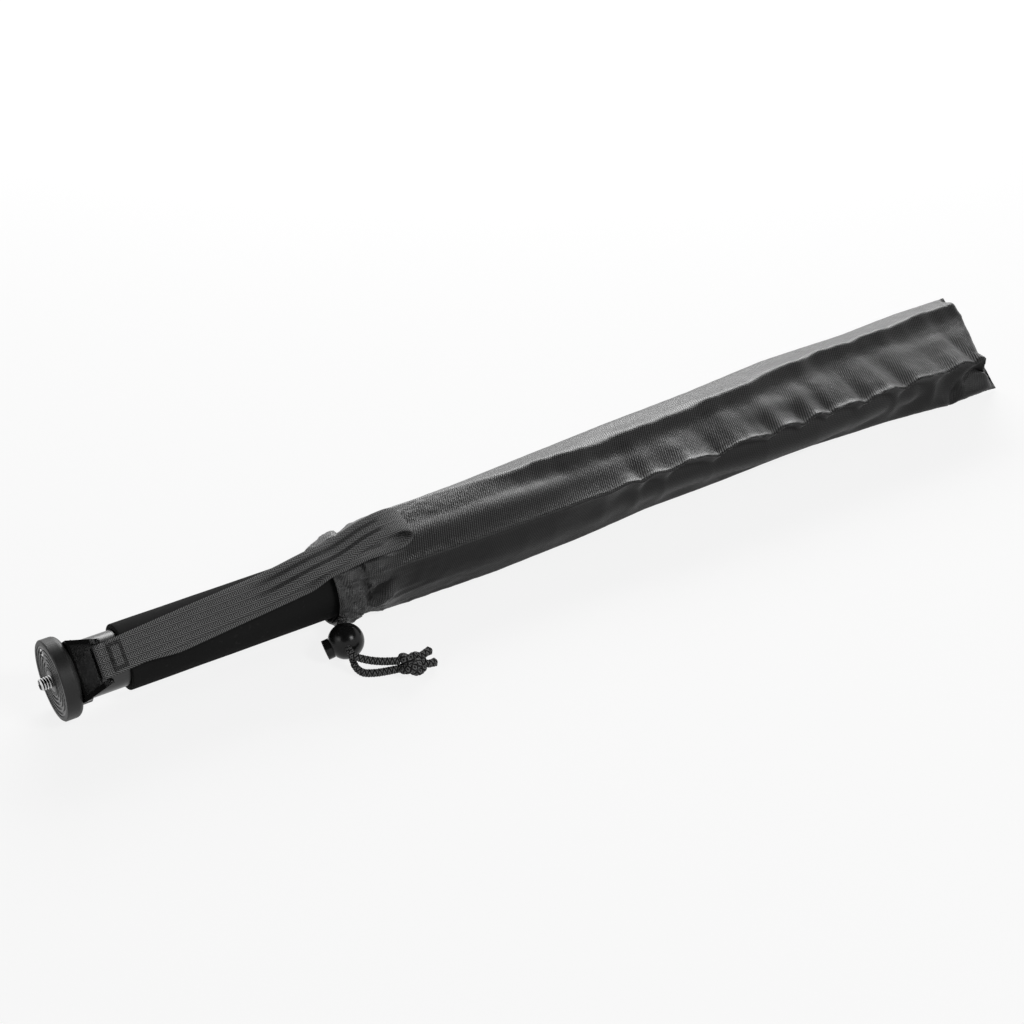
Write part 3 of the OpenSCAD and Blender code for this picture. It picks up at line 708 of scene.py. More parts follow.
def makePad():
    wide = (facePad["outer"] - facePad["inner"]) / (2 * facePad["ridges"] - 1)
    profile = [(facePad["inner"], facePad["back"])]
    face, curve = facePad["face"], facePad["round"]
    foot = face + facePad["groove"]
    for k in range(facePad["ridges"]):
        low = facePad["inner"] + 2 * k * wide
        high = low + wide
        profile += [(low, foot), (low, face + curve), (low + curve, face),
                    (high - curve, face), (high, face + curve), (high, foot)]
    profile.append((facePad["outer"], facePad["back"]))
    bpy.ops.object.select_all(action="DESELECT")
    bpy.ops.mesh.primitive_circle_add(vertices=len(profile))
    pad = started("facePad")
    for vertex, (out, deep) in zip(pad.data.vertices, profile):
        vertex.co = (out * mm, 0.0, deep * mm)
    applied(pad, "SCREW", axis="Z", angle=2 * math.pi, steps=facePad["steps"], render_steps=facePad["steps"],
            use_merge_vertices=True, merge_threshold=same)
    for vertex in pad.data.vertices:  # turned about Z, then laid along X
        vertex.co = (vertex.co.z, vertex.co.y, vertex.co.x)
    closeUp(pad, False)
    turn = math.radians(facePad["holeTurn"])
    bpy.ops.mesh.primitive_cylinder_add(
        vertices=facePad["holeSides"], radius=facePad["holeRadius"] * mm, depth=4 * facePad["back"] * mm,
        rotation=(0, math.pi / 2, 0),
        location=(0, facePad["holeAt"] * math.sin(turn) * mm, facePad["holeAt"] * math.cos(turn) * mm))
    drill = bpy.context.object
    applied(pad, "BOOLEAN", object=drill, operation="DIFFERENCE")
    bpy.data.objects.remove(drill)
    smoothShade(pad, facePad["sharp"])
    dress(pad, padTurned, "pad_rubber", "upper_tube", "face_pad")


makePad()
print("pad turned")


# Foam grip: a tube of closed-cell foam with clean cut ends

foam = {
    "start": 34.0,
    "length": 200.0,
    "radius": 16.5,
    "bore": 14.05,
    "edge": 0.45,
    "edgeCuts": 3,
    "sharp": 40,
    "rings": 100,
    "around": 96,
    "swell": 0.1,
    "swellFrom": 14.75,
    "swellScale": (45, 60),
}


def foamFinish(wire):
    place = places(wire)
    pores = wire.node("ShaderNodeTexVoronoi", {}, {"Vector": place, "Scale": 2300.0}, "Distance")
    cells = cloud(wire, place, 1400.0, 4.0, 0.65)
    rubbed = cloud(wire, stretched(wire, place, (14.0, 60.0, 60.0)), 1.0, 2.0)
    lint = cloud(wire, place, 420.0, 1.0).over(0.66, 0.74)
    level = cells * 0.5 + rubbed * 0.35 + lint * 0.35
    return {
        "Base Color": level.colours(grey(0.009), grey(0.03)),
        "Roughness": 0.78 + 0.2 * cells,
        "Normal": (pores * 0.7 + cells).bump(0.00012, 0.5),
    }


foamBlack = makeFinish("foamBlack", {"Specular IOR Level": 0.06}, foamFinish)


def makeGrip():
    length = foam["length"]
    bpy.ops.object.select_all(action="DESELECT")
    bpy.ops.mesh.primitive_cylinder_add(
        vertices=foam["around"], radius=foam["radius"] * mm, depth=length * mm,
        location=((foam["start"] + length / 2) * mm, 0, 0), rotation=(0, math.pi / 2, 0))
    grip = started("foamGrip")
    pick(grip, "FACE", lambda face: abs(face.normal.x) > endOn)
    bpy.ops.mesh.inset(thickness=(foam["radius"] - foam["bore"]) * mm)
    bpy.ops.mesh.bridge_edge_loops()
    setMode("OBJECT")
    applied(grip, "BEVEL", width=foam["edge"] * mm, segments=foam["edgeCuts"], limit_method="ANGLE",
            angle_limit=0.9)
    setMode("EDIT")
    for k in range(1, foam["rings"]):
        bpy.ops.mesh.select_all(action="SELECT")
        bpy.ops.mesh.bisect(
            plane_co=((foam["start"] + length * k / foam["rings"]) * mm, 0, 0), plane_no=(1, 0, 0))
    setMode("OBJECT")
    lengthwise, around = foam["swellScale"]
    for vertex in grip.data.vertices:  # hand-cut foam is never quite true
        x, y, z = vertex.co
        reach = math.hypot(y, z)
        if reach > foam["swellFrom"] * mm:
            swell = foam["swell"] * noise.noise(Vector((x * lengthwise, y * around, z * around)))
            vertex.co.y += y / reach * swell * mm
            vertex.co.z += z / reach * swell * mm
    smoothShade(grip, foam["sharp"])
    dress(grip, foamBlack, "grip_foam", "upper_tube", "foam_grip")


makeGrip()
print("grip cut")


# Wrist strap: herringbone webbing, doubled back on itself and round the bracket's bar

strap = {
    "width": 16.5,
    "thickness": 1.3,
    "barX": 21.8,
    "barHeight": 17.1,
    "wrapRadius": 2.15,
    "lowStart": 14.95,
    "offBar": 23.0,
    "onGrip": 31.0,
    "gripLift": 2.8,
    "climbFrom": 127.0,
    "liftFrom": 100.0,
    "climbTo": 140.0,
    "climbLift": 4.65,
    "layerGap": 1.5,
    "loopGap": 8.5,
    "loopTo": 177.0,
    "foldEnd": 185.35,
    "topStart": 19.25,
    "angle": 50.0,
    "endAngle": 16.0,
    "twistTo": 160.0,
    "underShift": 2.6,
    "shiftFrom": 38.0,
    "shiftTo": 60.0,
    "across": 22,
    "step": 0.8,
    "runPoints": 400,
    "turnPoints": 40,
    "foldTurn": 88,
    "wrapTurn": 86,
    "selvedge": (0.8, 14),  # how much thinner the edges are, and how suddenly
    "chevron": 3.3,
    "rib": 1.35,
    "ribDepth": 0.05,
    "stripes": (5.0, 10.6),
    "stripeEdge": (0.7, 1.5),
    "stripeFrom": (95.0, 115.0),
    "stripeTo": (168.0, 174.0),
    "block": (24.6, 32.0),
    "blockMargin": 1.6,
    "blockFrame": ((-2.0, -1.4), (-0.1, 0.2)),  # the inner and outer edge of its stitches
    "stitch": 0.9,
    "sharp": 50,
    "ridges": [(24.2, 1.2, -1.0), (26.6, 1.0, 0.6)],  # place, half width and height
}


def strapLower(x):
    return (strap["lowStart"] + strap["gripLift"] * smooth(x, strap["offBar"], strap["onGrip"])
            + strap["climbLift"] * smooth(x, strap["climbFrom"], strap["climbTo"]))


def strapUpper(x):
    sooner = smooth(x, strap["liftFrom"], strap["climbTo"]) - smooth(x, strap["climbFrom"], strap["climbTo"])
    gap = strap["layerGap"] + strap["loopGap"] * smooth(x, strap["climbTo"], strap["loopTo"])
    near = strapLower(x) + strap["climbLift"] * sooner + gap
    fall = strap["topStart"] - strap["lowStart"] - strap["gripLift"] - strap["layerGap"]
    return np.maximum(near, strap["topStart"] - fall * smooth(x, strap["offBar"], strap["onGrip"]))


def strapAngle(x):
    return np.radians(np.interp(x, (strap["barX"], strap["twistTo"]), (strap["angle"], strap["endAngle"])))


def strapLine():
    # the webbing's path in its own plane: along the tube and height above the axis
    runs = np.linspace(strap["barX"], strap["loopTo"], strap["runPoints"])
    low, top = strapLower(strap["loopTo"]), strapUpper(strap["loopTo"])
    bend = np.radians(np.linspace(-strap["foldTurn"], strap["foldTurn"], strap["turnPoints"]))
    fold = np.stack([strap["loopTo"] + (strap["foldEnd"] - strap["loopTo"]) * np.cos(bend),
                     (low + top) / 2 + (top - low) / 2 * np.sin(bend)], axis=1)
    turn = np.radians(np.linspace(strap["wrapTurn"], -strap["wrapTurn"], strap["turnPoints"]))
    wrap = np.stack([strap["barX"] - strap["wrapRadius"] * np.cos(turn),
                     strap["barHeight"] + strap["wrapRadius"] * np.sin(turn)], axis=1)
    line = np.vstack([np.stack([runs, strapLower(runs)], axis=1), fold,
                      np.stack([runs[::-1], strapUpper(runs[::-1])], axis=1), wrap])
    return np.vstack([line, line[:1]])


def onStrap(x, height, side):
    # a point at a height over the axis, moved sideways across the webbing
    angle = strapAngle(x)
    y = -height * np.sin(angle) - side * np.cos(angle)
    z = height * np.cos(angle) - side * np.sin(angle)
    return np.stack([x, y, z], axis=-1)


def makeStrap():
    path = strapLine()
    count = int(np.linalg.norm(np.diff(path, axis=0), axis=1).sum() / strap["step"])
    path, length = spaced(path, count + 1)
    ahead = np.roll(path[:-1], -1, axis=0) - np.roll(path[:-1], 1, axis=0)
    ahead = unit(np.vstack([ahead, ahead[:1]]))
    out = np.stack([ahead[:, 1], -ahead[:, 0]], axis=1)
    half, thick = strap["width"] / 2, strap["thickness"] / 2
    side = np.linspace(-1.0, 1.0, strap["across"] + 1)
    thinner, sudden = strap["selvedge"]
    outer = np.stack([side * half, thick * (1 - thinner * np.abs(side) ** sudden)], axis=1)
    section = np.vstack([outer, outer[::-1] * (1, -1), outer[:1]])
    along = np.linspace(0, length, count + 1)[:, None]
    lift = section[None, :, 1] * (1 + strap["ribDepth"] * np.sin(2 * np.pi * along / strap["rib"]))
    x = path[:, None, 0] + out[:, None, 0] * lift
    height = path[:, None, 1] + out[:, None, 1] * lift
    top = path[:, 1] > strap["barHeight"]
    for place, wide, high in strap["ridges"]:  # the top layer dips behind the bar, rises over the sewn end
        height = height + (top * high * bump(path[:, 0] - place, wide))[:, None]
    low, high = strapLower(path[:, 0]), strapUpper(path[:, 0])
    under = np.clip((high - path[:, 1]) / (high - low), 0.0, 1.0)  # the lower layer lies to the front
    shift = strap["underShift"] * under * smooth(path[:, 0], strap["shiftFrom"], strap["shiftTo"])
    points = onStrap(x, height, section[None, :, 0] + shift[:, None])
    flat = np.stack(np.broadcast_arrays(section[None, :, 0] + half, along), axis=-1)
    piece = gridPiece("wristStrap", len(section) - 1, count, points, flat)
    closeUp(piece, False)
    smoothShade(piece, strap["sharp"])
    dress(piece, webbingGrey, "strap_webbing", "strap", "wrist_strap")
    print("strap", round(length), "mm of webbing")


def between(socket, limits):
    # a soft step between two places in millimetres
    return socket.over(limits[0] * mm, limits[1] * mm)


def webbingFinish(wire):
    uv = places(wire, "UV")
    across, along = part(wire, uv, "X"), part(wire, uv, "Y")
    x = part(wire, places(wire), "X")
    chevron = strap["chevron"] * mm
    column = abs((across / chevron).math("FRACT") - 0.5)
    slant = column * chevron  # turns back at every column
    rows = (along + slant * 1.3).wave(strap["rib"] * mm) * 0.5 + 0.5
    fuzz = cloud(wire, uv, 1900.0, 3.0)
    tone = cloud(wire, stretched(wire, uv, (160.0, 30.0, 1.0)), 1.0, 2.0)
    weave = rows.over(0.4, 0.9) * (1 - 0.5 * column.over(0.4, 0.5)) * (0.6 + 0.8 * fuzz)
    beside = [abs(across - middle * mm) for middle in strap["stripes"]]
    stripe = 1 - between(beside[0].math("MINIMUM", beside[1]), strap["stripeEdge"])
    stripe = stripe * between(x, strap["stripeFrom"]) * (1 - between(x, strap["stripeTo"]))
    # the sewn block behind the bar: a dark stitched frame round a paler middle
    blockFrom, blockTo = (place * mm for place in strap["block"])
    half = strap["width"] / 2 * mm
    out = abs(across - half) - (half - strap["blockMargin"] * mm)
    inside = ((x - blockTo).math("MAXIMUM", blockFrom - x)).math("MAXIMUM", out)  # below zero in the block
    inner, outer = strap["blockFrame"]
    border = (1 - between(inside, outer)) * between(inside, inner)
    stitch = border * ((along + across).wave(strap["stitch"] * mm) * 0.3 + 0.7)
    level = (weave * 0.9 + fuzz * 0.25) * (0.75 + 0.5 * tone) * (1 - 0.72 * stripe) * (1 - 0.92 * stitch)
    return {
        "Base Color": level.colours(grey(0.009), grey(0.3)),
        "Roughness": 0.6 + 0.2 * fuzz,
        "Normal": (weave + 0.4 * fuzz - stitch).bump(0.0003, 0.8),
    }


webbingGrey = makeFinish("webbingGrey", {"Specular IOR Level": 0.12}, webbingFinish)
makeStrap()


# Carry bag: a nylon sleeve gathered by the drawcord, slack over the tubes and sewn flat at its end

bag = {
    "mouth": 141.0,
    "length": 447.0,
    "floor": -20.0,
    "inside": 17.55,
    "rows": [  # from the mouth: place, front edge on the floor, front slack, back y, crest z
        (59, -11.5, 3.9, 25, 17), (94, -12.5, 4, 27, 17), (144, -10.5, 2.8, 31, 17),
        (194, -6.5, 1.8, 34, 18), (249, -5.5, 1.4, 36, 19), (304, -3.5, 1.2, 40, 20),
        (364, -6.5, 1.4, 40, 20), (409, -12, 2, 43, 20)],
    "lip": [  # from the mouth: place, the share of the back's y at which the crest ends, its rise there
        (60, 0.62, 3.0), (100, 0.5, 3.2), (142, 0.36, 3.6), (204, 0.32, 3.6), (264, 0.35, 4.6),
        (296, 0.4, 4.8), (327, 0.5, 4.6), (361, 0.52, 4.4), (409, 0.55, 4.2)],
    "lipFrom": (70, 150),
    "waver": 2.4,
    "held": [  # from the mouth: place and the radius of what the cloth lies on
        (96, 17.0), (150, 14.6), (235, 14.6), (268, 17.2), (304, 17.2), (330, 15.1), (340, 15.1),
        (362, 13.1), (378, 13.1), (384, 12.0), (396, 12.0), (412, 0.0)],
    "heldEase": 26,
    "hemProfile": [  # place and radius, from inside the mouth round its edge to the groove behind the hem
        (9.0, 17.0), (6.5, 17.1), (4.2, 17.6), (2.2, 18.5), (0.8, 19.1), (0.1, 19.5), (0.0, 19.9),
        (0.2, 20.2), (0.9, 20.5), (1.9, 20.8), (3.2, 21.0), (5.0, 21.1), (6.4, 21.0), (7.8, 20.9),
        (9.2, 21.0), (10.6, 20.9), (12.0, 20.8), (13.4, 20.6), (14.6, 20.2), (15.4, 19.2), (15.9, 18.1),
        (16.4, 17.5), (17.0, 17.4), (17.6, 17.9), (18.2, 18.8)],
    "groove": 18.2,
    "behindGroove": (2.6, 9),  # how far the cloth swells out again, and over what length
    "shapeFrom": 46.0,
    "flare": {"turn": 54.0, "reach": 4.0, "wide": 48.0, "from": (-1, 15), "outside": 18.0,
              "tight": 0.75, "tightWide": 55.0},
    "around": 160,
    "rowStep": 1.9,
    "pleats": {"count": 19, "depth": 1.1, "fade": 16.0, "from": (0.3, 3.0), "uneven": 0.9, "lean": 0.012,
               "round": 0.8, "cut": 1.6},
    "crumple": {"depth": 2.7, "from": (0.2, 2.0), "till": (16.2, 30.2), "level": 0.45, "cut": 1.6,
                "fine": 0.3},
    "crinkle": {"depth": 0.5, "less": 0.8, "till": (30, 110), "small": 0.75, "tiny": 0.4},
    "fold": {"depth": 0.4, "from": (30, 90)},
    "ripples": {  # how close they come along the bag, on a slant and around it, and a number of their own
        "facet": (0.17, 0.0, 0.16, 4), "small": (0.21, 0.0, 0.23, 0), "tiny": (0.5, 0.0, 0.55, 9),
        "long": (0.016, 0.02, 0.09, 30)},
    "wanders": {  # length, a number of their own and size
        "arch": (60, 0, 2.5), "archSize": (37, 3, 0.9), "archFine": (9, 4, 0.5), "lipSide": (31, 5, 1.0),
        "lipSideFine": (13, 6, 0.4), "lipRise": (27, 11, 0.6), "lipRiseFine": (11, 12, 0.3)},
    "creased": (120, 230),
    "scallop": 3.4,
    "scallopPitch": 26.0,
    "scallopLevel": 0.55,
    "creaseShare": (-0.89, 0.45),
    "creaseOut": (-5.0, 4.3),
    "tuck": (0.65, 6.5),  # under a plain front and under a creased one
    "tuckArch": (0.5, 0.6),
    "drop": (-7.5, -4.8),
    "roundDrop": (-10.0, -1.6),
    "brim": 0.5,
    "backCorner": [(0.0, -8.0), (-0.8, -2.6), (-3.4, -0.4)],  # from the back's y and the crest's z
    "crestSwell": 0.45,
    "lipRound": [(2.2, -0.1), (-0.5, -0.4)],
    "dropShares": [(0.3, 0.3), (0.7, 0.2)],  # share of the drop below the lip, and how far out
    "dropHollow": 0.3,
    "faceShares": [(0.06, 0.0), (0.45, 0.5), (0.8, 1.0), (0.92, 0.6)],  # of the top face and of its brim
    "creaseRound": [(0.6, 0.4), (-0.3, -0.5)],
    "underCrease": (0.5, -1.7),
    "frontHigh": (-0.9, 0.35, -2.0),  # shares of the front's reach and the crease's height, and a drop
    "frontLow": (-0.86, -0.35),
    "frontFoot": [(-2.0, 5.0), (-0.6, 1.0), (2.5, 0.0)],  # from the front edge on the floor
    "backFoot": [(-6.0, 1.0), (-0.6, 0.5)],  # from the back's y, and the share of the floor's z
    "pocket": {"place": 22.5, "turn": 180.0, "radius": 21.0, "slant": 34.0, "depth": 5.0, "wide": 2.6,
               "long": 7.5, "ridge": 0.45, "ridgeAside": 5.2, "ridgeWide": 3.12},
    # painted light on the hem (till, paler) and painted shade in the pleat (hollow), with a cap on the sum
    # (palest)
    "hemLightPleatShade": {"till": (14, 44), "paler": 1.5, "hollow": 3.0, "palest": 2.3},
    "corner": {"place": 432.0, "low": -22.8, "squeeze": 0.79, "radius": 17.5, "depth": 4.8, "wide": 2.4,
               "lump": 0.7, "lumpWide": 10.5, "from": (402.0, 412.0), "pressed": 0.7},
    "seenUp": (0.612, 0.79),  # shares of y and z in the height at which the camera sees a point
    "seamRun": 28.0,
    "endRun": [(-20, 13), (-12, 14), (-4, 25), (2, 27), (14, 17), (26, 9)],  # the crest runs on to the end
    "seamThick": 1.6,
    "seamLow": (-5.0, -15.0),
    "seamHigh": (43.0, 20.0),
    "cloth": 0.5,
    "pushFrom": (-1, 2),
    "under": (8, -5),  # the sleeve's own seam lies here, below the tubes
    "cuts": 4,
    "samples": 480,
    "sharp": 80,
    "weave": (1.25, 1.1),
    # the range of the normal's upward part over which painted light pales the cloth
    "fade": (-0.1, 1.0),
    "flat": (0.172, 0.465),
}


def wander(s, name):
    length, own, size = bag["wanders"][name]
    return size * noise.noise(Vector((s / length, own, 0.0)))


def ripple(s, y, z, name):
    along, slant, around, own = bag["ripples"][name]
    return noise.noise(Vector((s * along + y * slant, y * around, z * around + own)))


def eased(s, limits):
    return float(smooth(s, *limits))


def turnedFrom(angle, turn):
    return (np.degrees(angle) - turn + 180) % 360 - 180


def bagOutline(s):
    # corners of the sleeve's section: up the back, over the crest to its lip, down the top face to the
    # front crease, under that to the floor
    table, crest, floor = np.array(bag["rows"], float), np.array(bag["lip"]), bag["floor"]
    edge, slack, backY, topZ = (np.interp(s, table[:, 0], table[:, k]) for k in range(1, 5))
    lipShare, rise = (np.interp(s, crest[:, 0], crest[:, k]) for k in (1, 2))
    front = bag["inside"] + slack
    creased = eased(s, bag["creased"])
    arch = abs(math.sin(math.pi * s / bag["scallopPitch"] + wander(s, "arch")))
    shift = (bag["scallopLevel"] - arch) * (1.0 + wander(s, "archSize")) + wander(s, "archFine")
    (plain, deep), (least, more) = bag["tuck"], bag["tuckArch"]
    tuck = (plain + (deep - plain) * creased) * (least + more * arch)
    formed = eased(s, bag["lipFrom"])  # near the mouth the cloth is drawn tight and has no lip
    waver = np.array((wander(s, "lipSide") + wander(s, "lipSideFine"),
                      wander(s, "lipRise") + wander(s, "lipRiseFine")))
    lip = np.array((lipShare * backY, topZ + rise)) + bag["waver"] * formed * waver
    crease = front * np.array(bag["creaseShare"]) - (0.0, creased * bag["scallop"] * shift)
    crease = crease + creased * np.array(bag["creaseOut"])
    drop = np.array(bag["drop"]) * formed + np.array(bag["roundDrop"]) * (1 - formed)
    foot = lip + drop  # where the cloth meets what it lies on, below the lip
    face = crease - foot
    brim = bag["brim"] * creased
    corners = [(backY + out, topZ + up) for out, up in bag["backCorner"]]
    corners.append(((corners[-1][0] + lip[0]) / 2, topZ + bag["crestSwell"] * rise))
    corners += [lip + step for step in bag["lipRound"]]
    corners += [lip + share * drop + (out, -bag["dropHollow"] * formed) for share, out in bag["dropShares"]]
    corners += [foot + share * face - (0.0, sag * brim) for share, sag in bag["faceShares"]]
    corners += [crease + step for step in bag["creaseRound"]]
    tucked, below = bag["underCrease"]
    corners.append(crease + (tucked * tuck, below))
    wide, high, below = bag["frontHigh"]
    corners.append((wide * front + tuck, high * crease[1] + below))
    wide, high = bag["frontLow"]
    corners.append((wide * front + tuck, high * front))
    corners += [(edge + out, floor + up) for out, up in bag["frontFoot"]]
    corners.append(((edge + backY) / 2, floor))
    corners += [(backY + out, floor * share) for out, share in bag["backFoot"]]
    return np.array(corners)


def roundedCorners(points):
    # every corner is cut off a quarter of the way along its sides, again and again
    for _ in range(bag["cuts"]):
        quarter = (np.roll(points, -1, axis=0) - points) / 4
        points = np.stack([points + quarter, points + 3 * quarter], axis=1).reshape(-1, 2)
    return points


def pocketShape(s, angle):
    # the deep pleat that the drawn mouth leaves at the front, and the ridge beside it
    pocket = bag["pocket"]
    slant = math.radians(pocket["slant"])
    behind, beside = s - pocket["place"], np.radians(turnedFrom(angle, pocket["turn"])) * pocket["radius"]
    along = behind * math.cos(slant) - beside * math.sin(slant)
    aside = behind * math.sin(slant) + beside * math.cos(slant)
    reach = bump(along, pocket["long"])
    ridge = bump(aside - pocket["ridgeAside"], pocket["ridgeWide"])
    return reach * bump(aside, pocket["wide"]), reach * ridge


def bagPush(s, ring, angle):
    # how far the cloth stands out of its plain shape: gathers, crumples and long soft folds
    pleats, crumple, crinkle, flare = bag["pleats"], bag["crumple"], bag["crinkle"], bag["flare"]
    fade = math.exp(-max(0.0, s - bag["groove"]) / pleats["fade"])
    gathered = pleats["depth"] * fade * eased(s, pleats["from"])
    crumpled = crumple["depth"] * (1 - eased(s, crumple["till"])) * eased(s, crumple["from"])
    crinkled = crinkle["depth"] * (1 - crinkle["less"] * eased(s, crinkle["till"]))
    folded = bag["fold"]["depth"] * eased(s, bag["fold"]["from"])
    drawn = 1 - flare["tight"] * bump(turnedFrom(angle, flare["turn"]), flare["tightWide"])
    push = np.empty(len(ring))
    for k, (y, z) in enumerate(ring):
        uneven = noise.noise(Vector((2 * math.cos(angle[k]), 2 * math.sin(angle[k]), 0.0)))
        turn = angle[k] / (2 * math.pi) * pleats["count"] + pleats["uneven"] * uneven
        wave = abs(math.sin(math.pi * turn + pleats["lean"] * s))
        pleat = 1 - wave ** pleats["round"] * pleats["cut"]
        facet, small, tiny, long = (ripple(s, y, z, name) for name in ("facet", "small", "tiny", "long"))
        crumb = crumple["level"] - abs(facet) * crumple["cut"] + crumple["fine"] * tiny
        push[k] = (drawn[k] * (gathered * pleat + crumpled * crumb) + folded * long
                   + crinkled * (crinkle["small"] * small + crinkle["tiny"] * tiny))
    hollow, ridge = pocketShape(s, angle)
    return push + bag["pocket"]["depth"] * (bag["pocket"]["ridge"] * ridge - hollow)


def pressedFlat(s, ring):
    # the far end is pressed flat along the slanted seam
    low, high = np.array(bag["seamLow"]), np.array(bag["seamHigh"])
    along = (high - low) / np.linalg.norm(high - low)
    across = np.array([-along[1], along[0]])
    middle = (low + high) / 2
    start = ring - middle
    depth = start @ across
    up = ring @ np.array(bag["seenUp"])
    run = np.where(depth > 0, np.interp(up, *np.array(bag["endRun"]).T), bag["seamRun"])
    shut = smooth(s, bag["length"] - run, bag["length"])
    thin = bag["seamThick"] / (depth.max() - depth.min())
    ring = middle + np.outer(start @ along, along) + np.outer(depth * (1 - (1 - thin) * shut), across)
    corner = bag["corner"]  # the low corner is turned in and leaves a round lump
    far = np.hypot(corner["squeeze"] * (s - corner["place"]), up - corner["low"])
    lump = corner["lump"] * bump(far, corner["lumpWide"]) - bump(far - corner["radius"], corner["wide"])
    dent = (depth > 0) * corner["depth"] * lump * eased(s, corner["from"])
    return ring + np.outer(dent * (1 - corner["pressed"] * shut), across)


def bagRing(s, radius):
    shape, _ = spaced(roundedCorners(bagOutline(s)), bag["samples"] + 1)
    shape = shape[:-1]
    angle = np.arctan2(shape[:, 1], shape[:, 0])
    share = eased(s, (bag["groove"], bag["shapeFrom"]))
    if radius is None:
        out, run = bag["behindGroove"]
        radius = bag["hemProfile"][-1][1] + out * eased(s, (bag["groove"], bag["groove"] + run))
    flare = bag["flare"]  # the mouth stands a little open at the top of its back
    if radius > flare["outside"]:
        spread = bump(turnedFrom(angle, flare["turn"]), flare["wide"])
        radius = radius + flare["reach"] * spread * eased(s, flare["from"])
    ring = np.stack([np.cos(angle), np.sin(angle)], axis=1) * np.atleast_1d(radius)[:, None]
    ring = ring * (1 - share) + shape * share
    push = bagPush(s, ring, angle) * eased(s, bag["pushFrom"])
    ahead = unit(np.roll(ring, -1, axis=0) - np.roll(ring, 1, axis=0))
    ring = ring - np.stack([-ahead[:, 1], ahead[:, 0]], axis=1) * push[:, None]
    ring = pressedFlat(s, ring)
    inner = float(np.interp(s, *np.array(bag["held"]).T))
    reach = np.maximum(np.hypot(ring[:, 0], ring[:, 1]), same)
    ease = bag["heldEase"]  # the cloth lies over the tubes in a soft arc
    ring = ring * ((reach ** ease + inner ** ease) ** (1 / ease) / reach)[:, None]
    ring[:, 1] = np.maximum(ring[:, 1], bag["floor"])
    return ring


def makeBag():
    stations = list(bag["hemProfile"])
    rest = bag["length"] - bag["groove"]
    count = int(rest / bag["rowStep"])
    stations += [(bag["groove"] + rest * k / count, None) for k in range(1, count + 1)]
    aside, below = bag["under"]
    around = np.linspace(0, bag["flat"][0] / mm, bag["around"] + 1)
    points, flat, run = [], [], 0.0
    for s, radius in stations:
        ring = bagRing(s, radius)
        start = int(np.argmin(np.where(ring[:, 1] < below, np.abs(ring[:, 0] - aside), np.inf)))
        ring = np.roll(ring, -start, axis=0)
        ring, _ = spaced(np.vstack([ring, ring[:1]]), bag["around"] + 1)
        row = np.column_stack([np.full(len(ring), bag["mouth"] + s), ring])
        if points:
            run += float(np.median(np.linalg.norm(row - points[-1], axis=1)))
        points.append(row)
        flat.append(np.column_stack([around, np.full(len(ring), run)]))
    sleeve = gridPiece("bagSleeve", bag["around"], len(stations) - 1, np.array(points), np.array(flat))
    closeUp(sleeve, False)
    end = (bag["mouth"] + bag["length"]) * mm - 10 * same
    pick(sleeve, "EDGE", lambda edge: all(sleeve.data.vertices[k].co.x > end for k in edge.vertices))
    bpy.ops.mesh.edge_face_add()
    faceOutward()
    applied(sleeve, "SOLIDIFY", thickness=bag["cloth"] * mm, offset=-1.0, use_rim=True)
    smoothShade(sleeve, bag["sharp"])
    spots = perVertex(sleeve, "co") / mm
    s = spots[:, 0] - bag["mouth"]
    hollow, _ = pocketShape(s, np.arctan2(spots[:, 2], spots[:, 1]))
    hemAndPleat = bag["hemLightPleatShade"]  # painted light and shade: the cloth is painted paler where it faces up and on the hem, and painted darker in the pleat
    pale = smooth(perVertex(sleeve, "normal")[:, 2], *bag["fade"])
    pale = pale + hemAndPleat["paler"] * (1 - smooth(s, *hemAndPleat["till"]))
    paintedShading = sleeve.data.attributes.new("paintedShading", "FLOAT", "POINT")
    paintedShading.data.foreach_set("value", np.clip(pale - hemAndPleat["hollow"] * hollow, 0.0, hemAndPleat["palest"]))
    dress(sleeve, bagNylon, "bag_cloth", "bag",
          "bag_top", "bag_front", "bag_base", "bag_back", "bag_end", "bag_hem")
    print("bag sewn:", len(sleeve.data.polygons), "faces")


def nylonFinish(wire):
    uv = places(wire, "UV")
    across, along = part(wire, uv, "X"), part(wire, uv, "Y")
    wide, high = (size * mm for size in bag["weave"])
    columns = (along + 0.35 * across).wave(wide) * 0.5 + 0.5
    dashes = (across - 0.2 * along).wave(high) * 0.5 + 0.5
    dots = columns.over(0.1, 0.85) * (0.25 + 0.75 * dashes)
    fuzz = cloud(wire, uv, 1500.0, 3.0)
    worn = cloud(wire, places(wire), 55.0, 3.0)
    level = dots * 0.75 + fuzz * 0.15 + worn * 0.15
    # painted light and shade from the sleeve: paler where it faces up and on the hem, darker in the pleat
    paintedShading = wire.node("ShaderNodeAttribute", {"attribute_name": "paintedShading"}, {}, "Fac")
    return {
        "Base Color": (level * (0.1 + 0.4 * paintedShading)).colours(grey(0.003), grey(0.17)),
        "Roughness": 0.59 - 0.35 * paintedShading.math("MINIMUM", 1.0) + 0.24 * dots + 0.1 * worn,
        "Normal": (dots + 0.2 * fuzz).bump(0.0002, 0.6),
    }


bagNylon = makeFinish(
    "bagNylon", {"Specular IOR Level": 0.26, "Sheen Weight": 0.18, "Sheen Roughness": 0.4}, nylonFinish)
makeBag()


# Finishes of the turned and moulded pieces

def plateFinish(wire):
    place = places(wire)
    grain = cloud(wire, place, 1300.0, 3.0, 0.6)
    cast = cloud(wire, place, 130.0, 2.0)
    return {
        "Base Color": (grain * 0.5 + cast * 0.5).colours(grey(0.007), grey(0.03)),
        "Roughness": 0.4 + 0.14 * grain,
        "Normal": (grain + cast).bump(0.00006, 0.4),
    }


